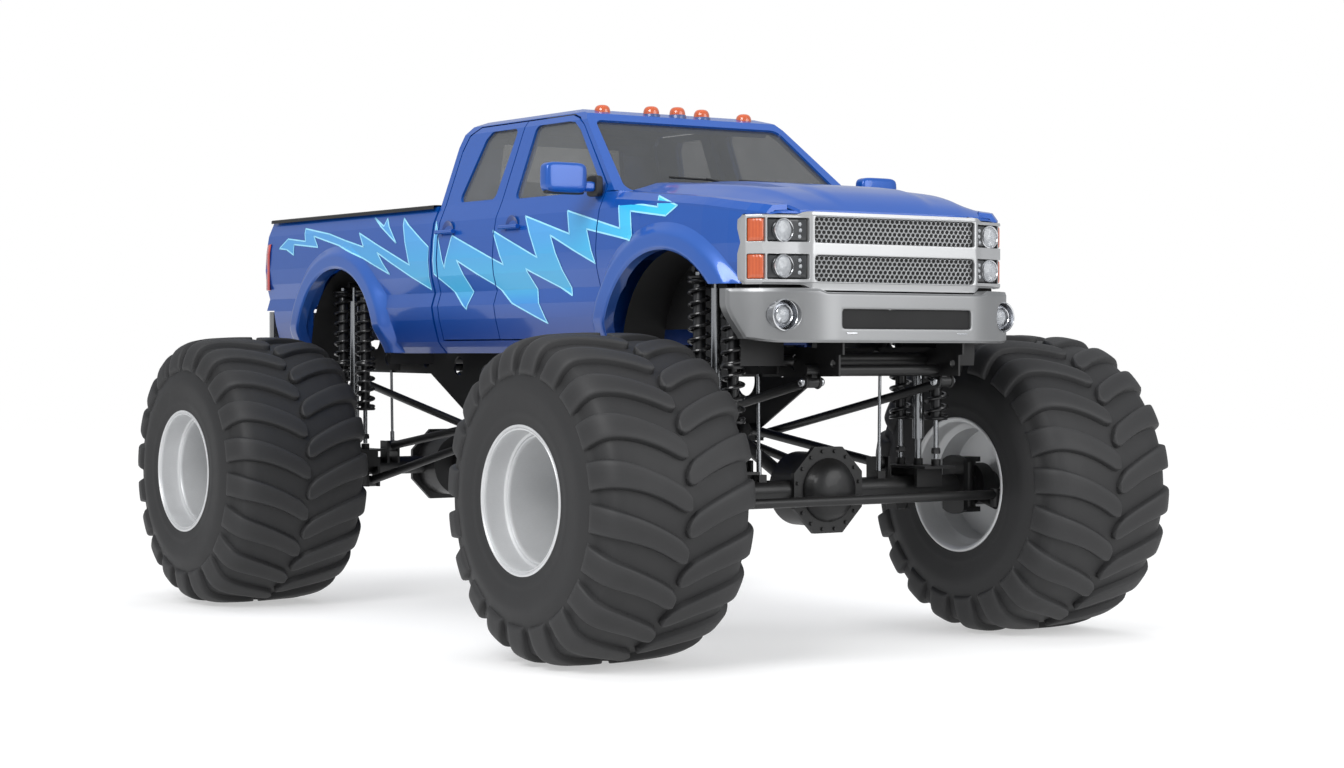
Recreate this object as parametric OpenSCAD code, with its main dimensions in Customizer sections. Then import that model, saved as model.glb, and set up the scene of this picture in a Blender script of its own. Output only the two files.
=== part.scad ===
// Monster truck: a crew-cab pickup body on a plate chassis with solid axles and
// 66 inch tyres. Millimetres; +X is forward, +Y is the truck's left, +Z is up,
// and the origin is on the ground at the middle of the wheelbase.

/* [Wheels] */
// Distance between the front and rear axle centres
wheelbase = 4016; // [3900:4:4200]
// Distance between the middles of the left and right tyres
track = 2862; // [2850:2:3000]
// Outside diameter of a tyre
tyre_d = 1676; // [1560:4:1700]
// Width of a tyre over its sidewalls
tyre_w = 950; // [860:2:960]
// Diameter over the rim's lips
rim_d = 758; // [700:2:820]
// Thickness of the tyre's wall
tyre_wall = 42; // [30:1:60]

/* [Body] */
// Height of the sill's lower edge above the ground
sill_z = 1572; // [1560:2:1700]
// Half the width of the body at its widest line
body_half_w = 913; // [880:1:930]
// Thickness of the cab's walls and doors
wall = 45; // [30:1:55]
// Thickness of the fenders, hood and bed sides' skins
skin = 26; // [16:1:34]
// Thickness of the window glass
glass_t = 6; // [4:0.5:10]
// Gap round each door, the hood and the tailgate
seam = 8; // [7:0.5:11]
// Back of the cab
cab_back = -600; // [-640:2:-560]
// Seam between the front door and the fender
door_front = 1203; // [1180:1:1225]
// Seam between the front and rear doors
door_mid = 110; // [60:2:160]
// Rear end of the cargo bed
bed_end = -2850; // [-2870:2:-2780]
// Gap between the cab and the bed
bed_gap = 22; // [16:1:40]
// Front edge of the hood
hood_front = 2608; // [2590:1:2612]
// Radius of a wheel arch
arch_r = 545; // [500:5:560]
// How far a wheel arch's centre stands inboard of its axle
arch_shift = 188; // [120:2:220]

/* [Chassis] */
// Half the distance between the frame plates, at their outer faces
frame_half = 407; // [380:1:430]
// Thickness of the frame plates
plate_t = 12; // [8:1:20]
// Half the length of the frame
frame_len = 2680; // [2640:5:2720]
// Radius of an axle tube
axle_r = 58; // [45:1:70]
// Radius of a suspension link
link_r = 26; // [18:1:34]
// Distance of the shock absorbers from the centre line
shock_y = 690; // [660:2:710]
// Distance of the kingpins from the centre line
kingpin_y = 1050; // [1030:2:1080]

/* [Hidden] */
$fn = 48;

seat_gap = 0.3;                 // clearance of a fixed piece in its seat
far = 4000;                     // longer than anything that is cut
tyre_r = tyre_d / 2;
axle_x = wheelbase / 2;
axle_z = tyre_r;
wheel_y = track / 2;
rim_r = rim_d / 2;
rim_half = tyre_w / 2 - 12;     // half the rim's width
blue = [0.10, 0.27, 0.66];
black = [0.06, 0.06, 0.065];
steel = [0.55, 0.56, 0.58];
chrome = [0.80, 0.81, 0.83];

// The body's side: [height above the sill, inset from the widest line]
SIDE = [
    [0, 113], [38, 78], [68, 55], [200, 20], [280, 8], [362, 33], [460, 8],
    [558, 0], [680, 8], [783, 25], [883, 68], [1080, 138], [1278, 208],
    [1316, 222], [1363, 258]
];
// The roof, which carries on from the side in the same columns
ROOF = [[1390, 323], [1406, 463], [1420, body_half_w]];
sill_to_belt = 783;
sill_to_rail = 883;
roof_top = sill_z + 1420;
door_low = sill_z + 73;
door_top = sill_z + 1358;
window_low = sill_z + 886;
window_top = sill_z + 1314;
bed_rail = sill_z + sill_to_rail;

// The windscreen's plane in side view, from its foot to its head
screen_foot = [door_front + 87, sill_z + 878];
screen_lean = 0.849;            // rise over run
function screen_x(z) = screen_foot.x - (z - screen_foot.y) / screen_lean;

// ---------------------------------------------------------------- helpers

module both_sides() {
    children();
    mirror([0, 1, 0]) children();
}
module along_x(x0, x1) {
    translate([x0, 0, 0]) rotate([90, 0, 90]) linear_extrude(x1 - x0) children();
}
module along_y(y0, y1) {
    translate([0, y1, 0]) rotate([90, 0, 0]) linear_extrude(y1 - y0) children();
}
module box(lo, hi) {
    translate(lo) cube([hi.x - lo.x, hi.y - lo.y, hi.z - lo.z]);
}
// A round bar from one point to another
module bar(a, b, r) {
    v = b - a;
    translate(a)
        rotate([0, acos(v.z / norm(v)), atan2(v.y, v.x)])
            cylinder(r = r, h = norm(v));
}
// A cross bar, centred on the truck's middle plane
module cross_bar(x, z, half, r) {
    bar([x, -half, z], [x, half, z], r);
}
function side_y(z) = body_half_w - lookup(z - sill_z, SIDE);
// Outline of the body's cross-section, wholly or only up to a height, moved in by t
function section(t = 0, top = 1e4) = concat(
    [for (r = SIDE) if (r[0] <= top) [body_half_w - r[1] - t, sill_z + r[0]]],
    [for (r = ROOF) if (r[0] <= top) [max(body_half_w - r[1] - t, 0), sill_z + r[0] - t]]
);
function mirrored(p) = [for (i = [len(p) - 1:-1:0]) [-p[i].x, p[i].y]];
// Both side walls of the body, t thick, lying d under the outer surface
module side_walls(x0, x1, d, t, top = 1e4) {
    outer = section(d, top);
    inner = section(d + t, top);
    both_sides() along_x(x0, x1)
        polygon(concat(outer, [for (i = [len(inner) - 1:-1:0]) inner[i]]));
}

// ---------------------------------------------------------------- cab

scuttle_top = screen_foot.y - 14;
scuttle_front = screen_foot.x + 45;
firewall_x = door_front + 47;
// Side view of the cab, t inside its outer surface
function cab_outline(t) = [
    [cab_back + t, sill_z + t * 0.5], [cab_back + t, sill_z + 1240],
    [cab_back + 25 + t * 0.9, sill_z + 1320 - t * 0.4],
    [cab_back + 75 + t * 0.5, sill_z + 1372 - t * 0.8],
    [cab_back + 170, sill_z + 1402 - t], [cab_back + 350, sill_z + 1414 - t],
    [80, sill_z + 1420 - t], [400, sill_z + 1410 - t], [610, sill_z + 1386 - t],
    [screen_x(sill_z + 1355) - t, sill_z + 1355 - t * 0.9],
    [screen_foot.x - t * 1.32, screen_foot.y],
    [screen_foot.x - t * 1.32, scuttle_top - t],
    [scuttle_front - t, scuttle_top - t], [scuttle_front - t, sill_z + 680 - t * 0.4],
    [firewall_x - t, sill_z + 510 - t * 0.4], [firewall_x - t, sill_z + t * 0.5]
];
// Side view of the front door, g inside its opening all round, and its closing edge
// moved in by back as well
function front_door(g, back = 0) = [
    [door_mid + g / 2 + back, door_low + g], [door_front - g, door_low + g],
    [door_front - g, screen_foot.y + 41 - g], [screen_x(sill_z + 1283) - 43 - g, sill_z + 1283],
    [690 - g, sill_z + 1333 - g], [600 - g, door_top - g], [door_mid + g / 2 + back, door_top - g]
];
function rear_door(g, back = 0) = [
    [cab_back + wall + 7 + g + back, door_low + g], [door_mid - g / 2, door_low + g],
    [door_mid - g / 2, door_top - g], [cab_back + 170 + g + back, door_top - g],
    [cab_back + 85 + g + back, sill_z + 1308 - g], [cab_back + wall + 7 + g + back, sill_z + 1215 - g]
];
front_window = [
    [door_mid + 135, window_low], [screen_x(window_low) - 175, window_low],
    [screen_x(window_low + 70) - 108, window_low + 70],
    [screen_x(window_top - 60) - 103, window_top - 60],
    [screen_x(window_top - 60) - 190, window_top - 8],
    [screen_x(window_top - 60) - 260, window_top], [door_mid + 135, window_top]
];
rear_window_side = [
    [cab_back + 200, window_low + 10], [door_mid - 92, window_low + 10],
    [door_mid - 62, window_top], [cab_back + 350, window_top],
    [cab_back + 300, window_top - 45]
];
module rounded(points, r, shrink = 0) {
    offset(r = r - shrink, $fn = 24) offset(delta = -r) polygon(points);
}
// The windscreen's opening in its own plane, u up the slope and v across
screen_head = sill_z + 1313;
screen_rise = norm([screen_x(screen_head) - screen_foot.x, screen_head - screen_foot.y]);
screen_angle = atan2(screen_head - screen_foot.y, screen_foot.x - screen_x(screen_head));
module in_screen_plane(depth, t) {
    translate([screen_foot.x, 0, screen_foot.y])
        rotate([0, screen_angle - 180, 0])
            translate([0, 0, depth - t]) linear_extrude(t) children();
}
module screen_shape(shrink) {
    half_foot = body_half_w - 143;
    half_head = body_half_w - 273;
    rounded([
        [8, -half_foot], [screen_rise, -half_head], [screen_rise, half_head], [8, half_foot]
    ], 60, shrink);
}
module back_window_shape(shrink) {
    rounded([[-480, sill_z + 900], [480, sill_z + 900], [430, sill_z + 1290], [-430, sill_z + 1290]],
            40, shrink);
}
module cab_body(t) {
    intersection() {
        along_x(cab_back - 1, screen_foot.x + 60)
            polygon(concat(section(t), mirrored(section(t))));
        along_y(-far / 2, far / 2) polygon(cab_outline(t));
    }
}
module cab_shell() color(blue) {
    difference() {
        cab_body(0);
        cab_body(wall);
        both_sides() along_y(body_half_w - 330, far / 2) {
            polygon(front_door(0));
            polygon(rear_door(0));
        }
        in_screen_plane(60, 120) screen_shape(0);
        along_x(cab_back - 10, cab_back + wall + 10) back_window_shape(0);
        // room for the frame under the floor
        box([cab_back - 1, -frame_half - 75, sill_z - 1], [screen_foot.x + 50, frame_half + 75, sill_z + 46]);
        // the fenders lap over the scuttle's sides
        side_walls(door_front, screen_foot.x + 60, -5, skin + 5 + seat_gap, sill_to_rail);
    }
    // floor
    box([cab_back + 1, -body_half_w + 130, sill_z + 46], [firewall_x - 1, body_half_w - 130, sill_z + 73]);
    // centre and hinge pillars, with a pad behind each door near its hinge line
    pillar(door_mid - 45, door_mid + 45, 1400);
    pillar(door_front - 65, firewall_x - 1, sill_to_rail - 40);
    for (x = [door_mid, door_front], h = [230, 610])
        intersection() {
            side_walls(x - 62, x - 40, wall + seat_gap, 10);
            both_sides() box([x - 62, 0, sill_z + h], [x - 40, far, sill_z + h + 90]);
        }
}
// A pillar just inside the doors, from the sill up
module pillar(x0, x1, top) {
    intersection() {
        side_walls(x0, x1, wall + seam, wall, 1363);
        box([x0, -far / 2, sill_z + 50], [x1, far / 2, sill_z + top]);
    }
}
module windscreen() color([0.3, 0.32, 0.33]) {
    in_screen_plane(14 + glass_t, glass_t) screen_shape(seat_gap);
}
module rear_window() color([0.3, 0.32, 0.33]) {
    along_x(cab_back + 18, cab_back + 18 + glass_t) back_window_shape(seat_gap);
}
// A door's wall in three layers, each layer's closing edge further forward than the
// last by step, so that the edge swings clear of what it shuts against
door_layers = 3;
module door_wall(kind, window, step) {
    layer = wall / door_layers;
    difference() {
        for (k = [0:door_layers - 1])
            intersection() {
                side_walls(cab_back, door_front, k * layer, layer, 1363);
                along_y(0, far / 2)
                    polygon(kind == "front" ? front_door(seam, k * step + 1) : rear_door(seam, k * step + 3));
            }
        along_y(0, far / 2) rounded(window, 38);
    }
}
module front_door_left() color(blue) {
    door_wall("front", front_window, 4.5);
    handle(door_mid + 195);
}
module rear_door_left() color(blue) {
    door_wall("rear", rear_window_side, 7.5);
    handle(cab_back + wall + 130);
}
module handle(x) {
    z = sill_z + 722;
    y = side_y(z);
    for (end = [-1, 1])
        bar([x + end * 78, y - 12, z], [x + end * 78, y + 26, z], 10);
    bar([x - 100, y + 26, z], [x + 100, y + 26, z], 13);
}
module side_glass(window) color([0.3, 0.32, 0.33]) {
    intersection() {
        side_walls(cab_back, door_front, 16, glass_t);
        along_y(0, far / 2) rounded(window, 38, seat_gap);
    }
}
module mirror_left() color(blue) {
    x = door_front - 45;
    z = window_low + 62;
    head_y = body_half_w + 177;
    difference() {
        union() {
            box([x - 50, head_y - 134, z - 82], [x + 46, head_y + 134, z + 84]);
            box([x - 30, side_y(z) - 20, z - 52], [x + 10, head_y - 120, z - 12]);
            box([x - 46, side_y(z) - 20, z - 66], [x + 16, side_y(z) + 24, z - 2]);
        }
        along_x(cab_back, screen_foot.x + 60)
            polygon(concat(section(-seat_gap), mirrored(section(-seat_gap))));
    }
}

// ---------------------------------------------------------------- front body

// How far the fender draws in towards the front: [x, inset]
TAPER = [
    [1200, 0], [1600, 0], [1900, 8], [2150, 22], [2350, 45], [2470, 66], [2530, 96], [2556, 130],
    [2622, 175]
];
// The fender's top edge: [x, height above the sill]
FENDER_TOP = [[1200, 882], [1386, 875], [2113, 812], [2532, 757], [2560, 750]];
scuttle_x = screen_foot.x + 47;  // where the fenders' tops start to turn in to the hood
fender_x = [door_front, scuttle_x - 1, scuttle_x, 1500, 1600, 1750, 1900, 2030, 2150, 2250, 2350, 2410, 2470, 2530, 2556];
hood_half = 765;
function fender_y(x, h) = body_half_w - lookup(x, TAPER) - lookup(h, SIDE);
// A closed skin between two grids of the same size: outer and inner rows of points
module shell_between(outer, inner) {
    n = len(outer);
    m = len(outer[0]);
    points = concat([for (r = outer) each r], [for (r = inner) each r]);
    o = n * m;
    quads = concat(
        [for (i = [0:n - 2], j = [0:m - 2]) [i * m + j, i * m + j + 1, (i + 1) * m + j + 1, (i + 1) * m + j]],
        [for (i = [0:n - 2], j = [0:m - 2]) [o + i * m + j, o + (i + 1) * m + j, o + (i + 1) * m + j + 1, o + i * m + j + 1]],
        [for (i = [0:n - 2]) [i * m, (i + 1) * m, o + (i + 1) * m, o + i * m]],
        [for (i = [0:n - 2]) [i * m + m - 1, o + i * m + m - 1, o + (i + 1) * m + m - 1, (i + 1) * m + m - 1]],
        [for (j = [0:m - 2]) [j, o + j, o + j + 1, j + 1]],
        [for (j = [0:m - 2]) [(n - 1) * m + j, (n - 1) * m + j + 1, o + (n - 1) * m + j + 1, o + (n - 1) * m + j]]
    );
    triangles = [for (q = quads) each [[q[0], q[1], q[2]], [q[0], q[2], q[3]]]];
    polyhedron(points, triangles);
}
fender_levels = [0, 38, 68, 200, 280, 362, 460, 558, 680];
function fender_row(x, t) =
    let (top = lookup(x, FENDER_TOP))
    concat(
        [for (h = concat(fender_levels, [min(783, top - 57)])) [x, fender_y(x, h) - t, sill_z + h]],
        // beside the scuttle the skin follows the cab's side, and ahead of it turns in to the hood
        x < scuttle_x
            ? [[x, fender_y(x, top - 45) - t, sill_z + top - 45],
               [x, fender_y(x, top - 6 - t) - t, sill_z + top - 6 - t],
               [x, fender_y(x, top - t) - 7 - t * 0.7, sill_z + top - t]]
            : [[x, fender_y(x, top - 60) - t, sill_z + top - 45 - t * 0.3],
               [x, fender_y(x, top) - 28 - t * 0.5, sill_z + top - 6 - t],
               [x, hood_half + seam - lookup(x, TAPER), sill_z + top - t]]
    );
module arch_cut(x, r, y0 = 0) {
    translate([x, y0, arch_z]) rotate([-90, 0, 0]) cylinder(r = r, h = far, $fn = 96);
}
arch_z = sill_z + 8;
front_arch = axle_x - arch_shift;
rear_arch = -axle_x + arch_shift;
module front_fenders() color(blue) {
    both_sides() {
        difference() {
            shell_between([for (x = fender_x) fender_row(x, 0)],
                          [for (x = fender_x) fender_row(x, skin)]);
            arch_cut(front_arch, arch_r);
            box([front_arch, 0, 0], [far, far, sill_z + 352]);
            // the grille's surround wraps round the corner here
            box([nose_side_x - seat_gap, 0, 0], [far, far, sill_z + 702]);
        }
    }
}
// Side view of a wheel housing: the arch, with a hump over the shock tower
module housing_shape(arch_x, tower_x, grow) {
    translate([arch_x, arch_z]) circle(r = arch_r + grow, $fn = 96);
    hump_shape(tower_x, grow);
}
module hump_shape(tower_x, grow) {
    translate([tower_x - 262 - grow, arch_z]) square([524 + 2 * grow, tower_top + 28 + grow - arch_z]);
}
// A wheel housing, open below base_z, from y0 to y1
module housing(arch_x, tower_x, y0, y1, base_z) {
    difference() {
        along_y(y0, y1) housing_shape(arch_x, tower_x, 14);
        along_y(y0 + 12, y1 + 1) housing_shape(arch_x, tower_x, 2);
        box([arch_x - far, y0 - 1, 0], [arch_x + far, y1 + 2, base_z]);
    }
}
module inner_fenders() color(black) {
    both_sides() difference() {
        housing(front_arch, axle_x, 504, 760, arch_z + 120);
        // the struts of the shock tower pass here
        box([axle_x - 90, 500, 0], [axle_x + 90, 520, arch_z + 330]);
    }
    // aprons from the scuttle forwards
    both_sides() box([scuttle_front + seat_gap, 504, sill_z + 540], [2380, 516, sill_z + 730]);
}
// The hood's rows across, [share of half the width, share of the rise above its edge]
HOOD_ACROSS = [[0, 1], [0.4, 0.99], [0.66, 0.94], [0.79, 0.84], [0.88, 0.45], [1, 0]];
// The hood along its length: [x, height of the edge, height of the middle], above the sill
HOOD_ALONG = [
    [1345, 882, 938], [1550, 862, 930], [1800, 842, 918], [2100, 816, 893], [2300, 792, 868],
    [2440, 775, 830], [2540, 762, 780], [2622, 722, 726]
];
hood_x = [for (r = HOOD_ALONG) min(r[0], hood_front)];
function hood_row(i, t) =
    let (r = HOOD_ALONG[i],
         across = concat([for (k = [5:-1:1]) [-HOOD_ACROSS[k][0], HOOD_ACROSS[k][1]]], HOOD_ACROSS),
         half = hood_half - lookup(hood_x[i], TAPER))
    [for (a = across) [hood_x[i], a[0] * half, sill_z + r[1] + (r[2] - r[1]) * a[1] - t]];
module hood() color(blue) {
    shell_between([for (i = [0:7]) hood_row(i, 0)], [for (i = [0:7]) hood_row(i, skin)]);
    // hinge barrels that lie on the scuttle
    both_sides() {
        bar([hood_hinge.x, 250, hood_hinge.y], [hood_hinge.x, 350, hood_hinge.y], 5);
        box([hood_hinge.x, 250, hood_hinge.y - 4], [hood_hinge.x + 36, 350, sill_z + 915]);
    }
}
hood_hinge = [scuttle_front - 4, scuttle_top + 5 + seat_gap];
// Plan of the nose: [distance from the middle, x of the face]
nose_side_x = 2446;             // the surround's rear edge at the fender
NOSE = [[0, 2652], [548, 2650], [600, 2618], [700, 2590], [800, 2556], [847, 2475], [853, nose_side_x]];
BUMPER = [[0, 2742], [500, 2740], [600, 2716], [730, 2660], [850, 2560], [915, 2450], [930, 2365]];
function plan(rows, t) = concat(
    [for (r = rows) [r[1], r[0]]],
    [for (i = [len(rows) - 1:-1:0]) [rows[i][1] - t, rows[i][0] - t * (i > 2 ? 0.6 : 0.1)]]
);
module nose_band(rows, t, z0, z1) {
    both_sides() translate([0, 0, z0]) linear_extrude(z1 - z0)
        polygon([for (p = plan(rows, t)) [p.x, max(p.y, 0)]]);
}
module front_view(x0, x1) {
    along_x(x0, x1) children();
}
mesh_half = 535;
mesh_rows = [[361, 495], [558, 690]];          // low and high edge above the sill
lamp_rows = [[372, 499], [561, 681]];
lamp_in = 565;
lamp_out = 838;
module rect(y0, y1, z0, z1) translate([y0, z0]) square([y1 - y0, z1 - z0]);
module surround_face() {
    difference() {
        polygon([
            [-860, sill_z + 372], [-830, sill_z + 346], [-610, sill_z + 342], [-560, sill_z + 316],
            [560, sill_z + 316], [610, sill_z + 342], [830, sill_z + 346], [860, sill_z + 372],
            [860, sill_z + 690], [820, sill_z + 694], [650, sill_z + 690], [590, sill_z + 714],
            [-590, sill_z + 714], [-650, sill_z + 690], [-820, sill_z + 694], [-860, sill_z + 690]
        ]);
        for (r = mesh_rows) rect(-mesh_half, mesh_half, sill_z + r[0], sill_z + r[1]);
        for (s = [-1, 1], r = lamp_rows)
            rect(min(s * lamp_in, s * lamp_out), max(s * lamp_in, s * lamp_out), sill_z + r[0], sill_z + r[1]);
    }
}
module grille_surround() color(chrome) {
    difference() {
        intersection() {
            nose_band(NOSE, 34, sill_z + 300, sill_z + 730);
            front_view(nose_side_x, 2700) surround_face();
        }
        // behind the face its top edge drops under the hood
        box([nose_side_x - 1, -far / 2, sill_z + 688], [hood_front + seam, far / 2, sill_z + 730]);
    }
}
module grille_mesh() color(steel) {
    for (r = mesh_rows)
        box([2619, -mesh_half + seat_gap, sill_z + r[0] + seat_gap], [2631, mesh_half - seat_gap, sill_z + r[1] - seat_gap]);
}
module headlamps() color([0.75, 0.76, 0.78]) {
    intersection() {
        translate([-12, 0, 0]) nose_band(NOSE, 60, sill_z + 300, sill_z + 730);
        both_sides() front_view(nose_side_x, 2700) for (r = lamp_rows)
            rect(lamp_in + seat_gap, lamp_out - seat_gap, sill_z + r[0] + seat_gap, sill_z + r[1] - seat_gap);
    }
}
slot_half = 430;
fog_y = 729;
fog_z = sill_z + 191;
module bumper_face() {
    difference() {
        polygon([
            [-940, sill_z + 70], [-860, sill_z + 56], [860, sill_z + 56], [940, sill_z + 70],
            [940, sill_z + 322], [560, sill_z + 326], [520, sill_z + 306], [-520, sill_z + 306],
            [-560, sill_z + 326], [-940, sill_z + 322]
        ]);
        rect(-slot_half, slot_half, sill_z + 122, sill_z + 222);
    }
}
module front_bumper() color(chrome) {
    difference() {
        intersection() {
            nose_band(BUMPER, 16, sill_z + 50, sill_z + 330);
            front_view(2300, 2800) bumper_face();
        }
        both_sides() bar([2400, fog_y, fog_z], [2800, fog_y, fog_z], 76);
    }
    // the slot's dark backing sits behind the face, on the same pressing
    box([2712, -slot_half - 20, sill_z + 110], [2724.4, slot_half + 20, sill_z + 234]);
}
module fog_lamps() color([0.75, 0.76, 0.78]) {
    both_sides() bar([2560, fog_y, fog_z], [2652, fog_y, fog_z], 75.7);
}
MARKERS = [[709, 500], [732, 178], [740, 0]];   // [x, distance from the middle]
module marker_lamps() color([0.8, 0.35, 0.1]) {
    difference() {
        for (m = MARKERS, s = [-1, 1])
            if (m[1] > 0 || s > 0)
                translate([m[0] - 70, s * m[1], sill_z + 1340]) cylinder(r = 34, h = 86 - m[1] * 0.024);
        translate([0, 0, seat_gap]) cab_body(0);
    }
}

// ---------------------------------------------------------------- bed

bed_front = cab_back - bed_gap;
bed_floor = sill_z + 360;
bed_wall = 70;
housing_in = 500;               // inner side of a wheel housing
gate_t = 56;
gate_half = 770;
gate_pin = gate_half + seam - seat_gap;
gate_low = sill_z + 300;
module cargo_bed() color(blue) {
    difference() {
        union() {
            side_walls(bed_end, bed_front, 0, bed_wall, sill_to_rail);
            // posts beside the tailgate
            intersection() {
                side_walls(bed_end, bed_end + 40, 0, 150, sill_to_rail);
                both_sides() box([bed_end - 1, gate_half + seam, 0], [bed_front, far, bed_rail]);
            }
            box([bed_end + gate_t + seam, -body_half_w + 90, bed_floor - 40], [bed_front, body_half_w - 90, bed_floor]);
            box([bed_front - 34, -body_half_w + 90, bed_floor - 40], [bed_front, body_half_w - 90, bed_rail]);
        }
        both_sides() along_y(housing_in + 6, body_half_w - 95) hump_shape(-axle_x, 0);
        both_sides() arch_cut(rear_arch, arch_r, housing_in + 6);
        // the bumper wraps round the lower corners
        box([bed_end - 1, -far / 2, 0], [bed_end + 112, far / 2, sill_z + 286]);
    }
    both_sides() housing(rear_arch, -axle_x, housing_in, body_half_w - 90, bed_floor - 41);
}
module tailgate() color(blue) {
    box([bed_end, -gate_half, gate_low], [bed_end + gate_t, gate_half, bed_rail - 4]);
    bar([bed_end + 8, -gate_pin, gate_low + 8], [bed_end + 8, gate_pin, gate_low + 8], 7);
}
module tail_lamps() color([0.75, 0.12, 0.08]) {
    both_sides() box([bed_end - 14, 800, sill_z + 418], [bed_end - seat_gap, 880, sill_z + 735]);
}
REAR_BUMPER = [[0, 2908], [620, 2914], [800, 2904], [880, 2860], [900, 2800]];
module rear_bumper() color(chrome) {
    both_sides() mirror([1, 0, 0]) translate([0, 0, sill_z + 92]) linear_extrude(186)
        polygon([for (p = plan(REAR_BUMPER, 20)) [p.x, max(p.y, 0)]]);
}

// ---------------------------------------------------------------- cab inside

module seat(x, y, w) {
    box([x - 240, y - w / 2, sill_z + 250], [x + 240, y + w / 2, sill_z + 390]);
    translate([x - 225, y, sill_z + 380]) rotate([0, -14, 0])
        translate([-60, -w / 2, 0]) cube([120, w, 560]);
}
module seats() color([0.16, 0.16, 0.17]) {
    for (s = [-1, 1]) {
        seat(640, s * 360, 500);
        box([480, s * 360 - 200, sill_z + 73], [820, s * 360 + 200, sill_z + 250]);
    }
    seat(-120, 0, 1280);
    box([-330, -600, sill_z + 73], [60, 600, sill_z + 250]);
}
module dashboard() color([0.12, 0.12, 0.13]) {
    box([960, -690, sill_z + 560], [1180, 690, sill_z + 800]);
    box([1000, -60, sill_z + 73], [1180, 60, sill_z + 560]);
    bar([960, 360, sill_z + 740], [860, 360, sill_z + 775], 22);
    translate([850, 360, sill_z + 778]) rotate([0, -70, 0]) {
        rotate_extrude() translate([185, 0]) circle(r = 15);
        for (a = [0, 120, 240]) rotate(a) bar([0, 0, 0], [185, 0, 0], 10);
        translate([0, 0, -12]) cylinder(r = 45, h = 24);
    }
}

// ---------------------------------------------------------------- chassis

rail_top = sill_z + 30;
belly_z = 1060;
// Outline of a frame plate in side view: [x share of the frame's half length, z]
module frame_plate() {
    L = frame_len;
    difference() {
        polygon([
            [-L, rail_top - 150], [-0.56 * L, rail_top - 160], [-0.36 * L, belly_z + 90],
            [-0.28 * L, belly_z], [0.28 * L, belly_z], [0.36 * L, belly_z + 90],
            [0.56 * L, rail_top - 160], [L, rail_top - 150], [L, rail_top - 20],
            [0.9 * L, rail_top], [-0.9 * L, rail_top], [-L, rail_top - 20]
        ]);
        for (s = [-1, 1]) {
            translate([s * 2320, rail_top - 80]) circle(r = 42);
            translate([s * 1560, rail_top - 80]) circle(r = 42);
            translate([s * 1150, rail_top - 110]) circle(r = 58);
            translate([s * 800, rail_top - 190]) circle(r = 90);
            translate([s * 420, rail_top - 240]) circle(r = 110);
            translate([s * tow_x, tow_z]) circle(r = tow_r);
        }
        translate([0, rail_top - 260]) circle(r = 110);
    }
}
tow_x = 2632;
tow_z = rail_top - 86;
tow_r = 20;
tower_top = 2060;
shock_top = tower_top - 45;     // height of the pins that the shock absorbers hang on
shock_pin = 16;
module tower_plate() {
    difference() {
        polygon([
            [-330, rail_top - 140], [330, rail_top - 140], [330, rail_top - 20],
            [190, tower_top], [-190, tower_top], [-330, rail_top - 20]
        ]);
        translate([0, rail_top + 60]) circle(r = 70);
        translate([0, rail_top + 260]) circle(r = 90);
        translate([-190, rail_top - 60]) circle(r = 45);
        translate([190, rail_top - 60]) circle(r = 45);
    }
}
module chassis_frame() color(black) {
    y0 = frame_half - plate_t;
    both_sides() along_y(y0, frame_half) frame_plate();
    for (x = [-2400, -1250, -620, 0, 620, 1250, 2400])
        cross_bar(x, rail_top - 60, y0 + 4, 34);
    cross_bar(700, belly_z + 60, y0 + 4, 30);
    cross_bar(-700, belly_z + 200, y0 + 4, 30);
    for (e = [-1, 1]) {
        cross_bar(e * 2500, rail_top - 118, 490, 28);
        both_sides() {
            // shock towers and their outriggers
            translate([e * axle_x, 0, 0]) along_y(530, 542) tower_plate();
            for (dx = [-260, 260])
                bar([e * axle_x + dx, y0 + 4, rail_top - 70], [e * axle_x + dx, 536, rail_top - 70], 28);
            for (dx = [-150, 0, 150])
                bar([e * axle_x + dx, 536, shock_top], [e * axle_x + dx, shock_y + 40, shock_top], shock_pin);
            bar([e * axle_x, 536, rail_top + 160], [e * axle_x, y0 + 4, rail_top - 30], 22);
            // lower struts from the frame's ends to the belly
            bar([e * 2500, 470, rail_top - 180], [e * 860, 430, belly_z + 30], 24);
            box([e * 860 - 34, y0 + 4, belly_z + 2], [e * 860 + 34, 458, belly_z + 66]);
            bar([e * 2500, 400, rail_top - 180], [e * 2500, 486, rail_top - 180], 30);
            box([e * 2500 - 20, 421, rail_top - 180], [e * 2500 + 20, 455, rail_top - 115]);
        }
    }
    // body mounts under the cab, and risers under the bed
    for (x = [-480, 300, 1150]) both_sides()
        box([x - 40, y0, rail_top - 30], [x + 40, frame_half + 60, sill_z + 45.7]);
    for (x = [-2560, -1150, -760]) both_sides()
        box([x - 30, y0, rail_top - 30], [x + 30, frame_half, bed_floor - 40 - seat_gap]);
    // bumper arms
    both_sides() box([2500, y0, rail_top - 40], [2712, frame_half, sill_z + 118]);
    both_sides() box([-2880, y0, rail_top - 40], [-2500, frame_half, sill_z + 200]);
}
module engine_block() color([0.25, 0.25, 0.27]) {
    box([1420, -300, sill_z + 80], [2180, 300, sill_z + 640]);
    both_sides() box([1700, 290, rail_top + seat_gap], [1820, frame_half + 20, rail_top + 90]);
}
module transfer_case() color([0.2, 0.2, 0.22]) {
    box([-260, -200, belly_z + 20], [300, 200, belly_z + 360]);
    box([300, -150, belly_z + 120], [760, 150, belly_z + 420]);
    for (x = [-180, 200]) box([x, -y_in, belly_z + 180], [x + 50, y_in, belly_z + 250]);
}
y_in = frame_half - plate_t - seat_gap;
diff_r = 225;
shock_base = 1010;
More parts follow.
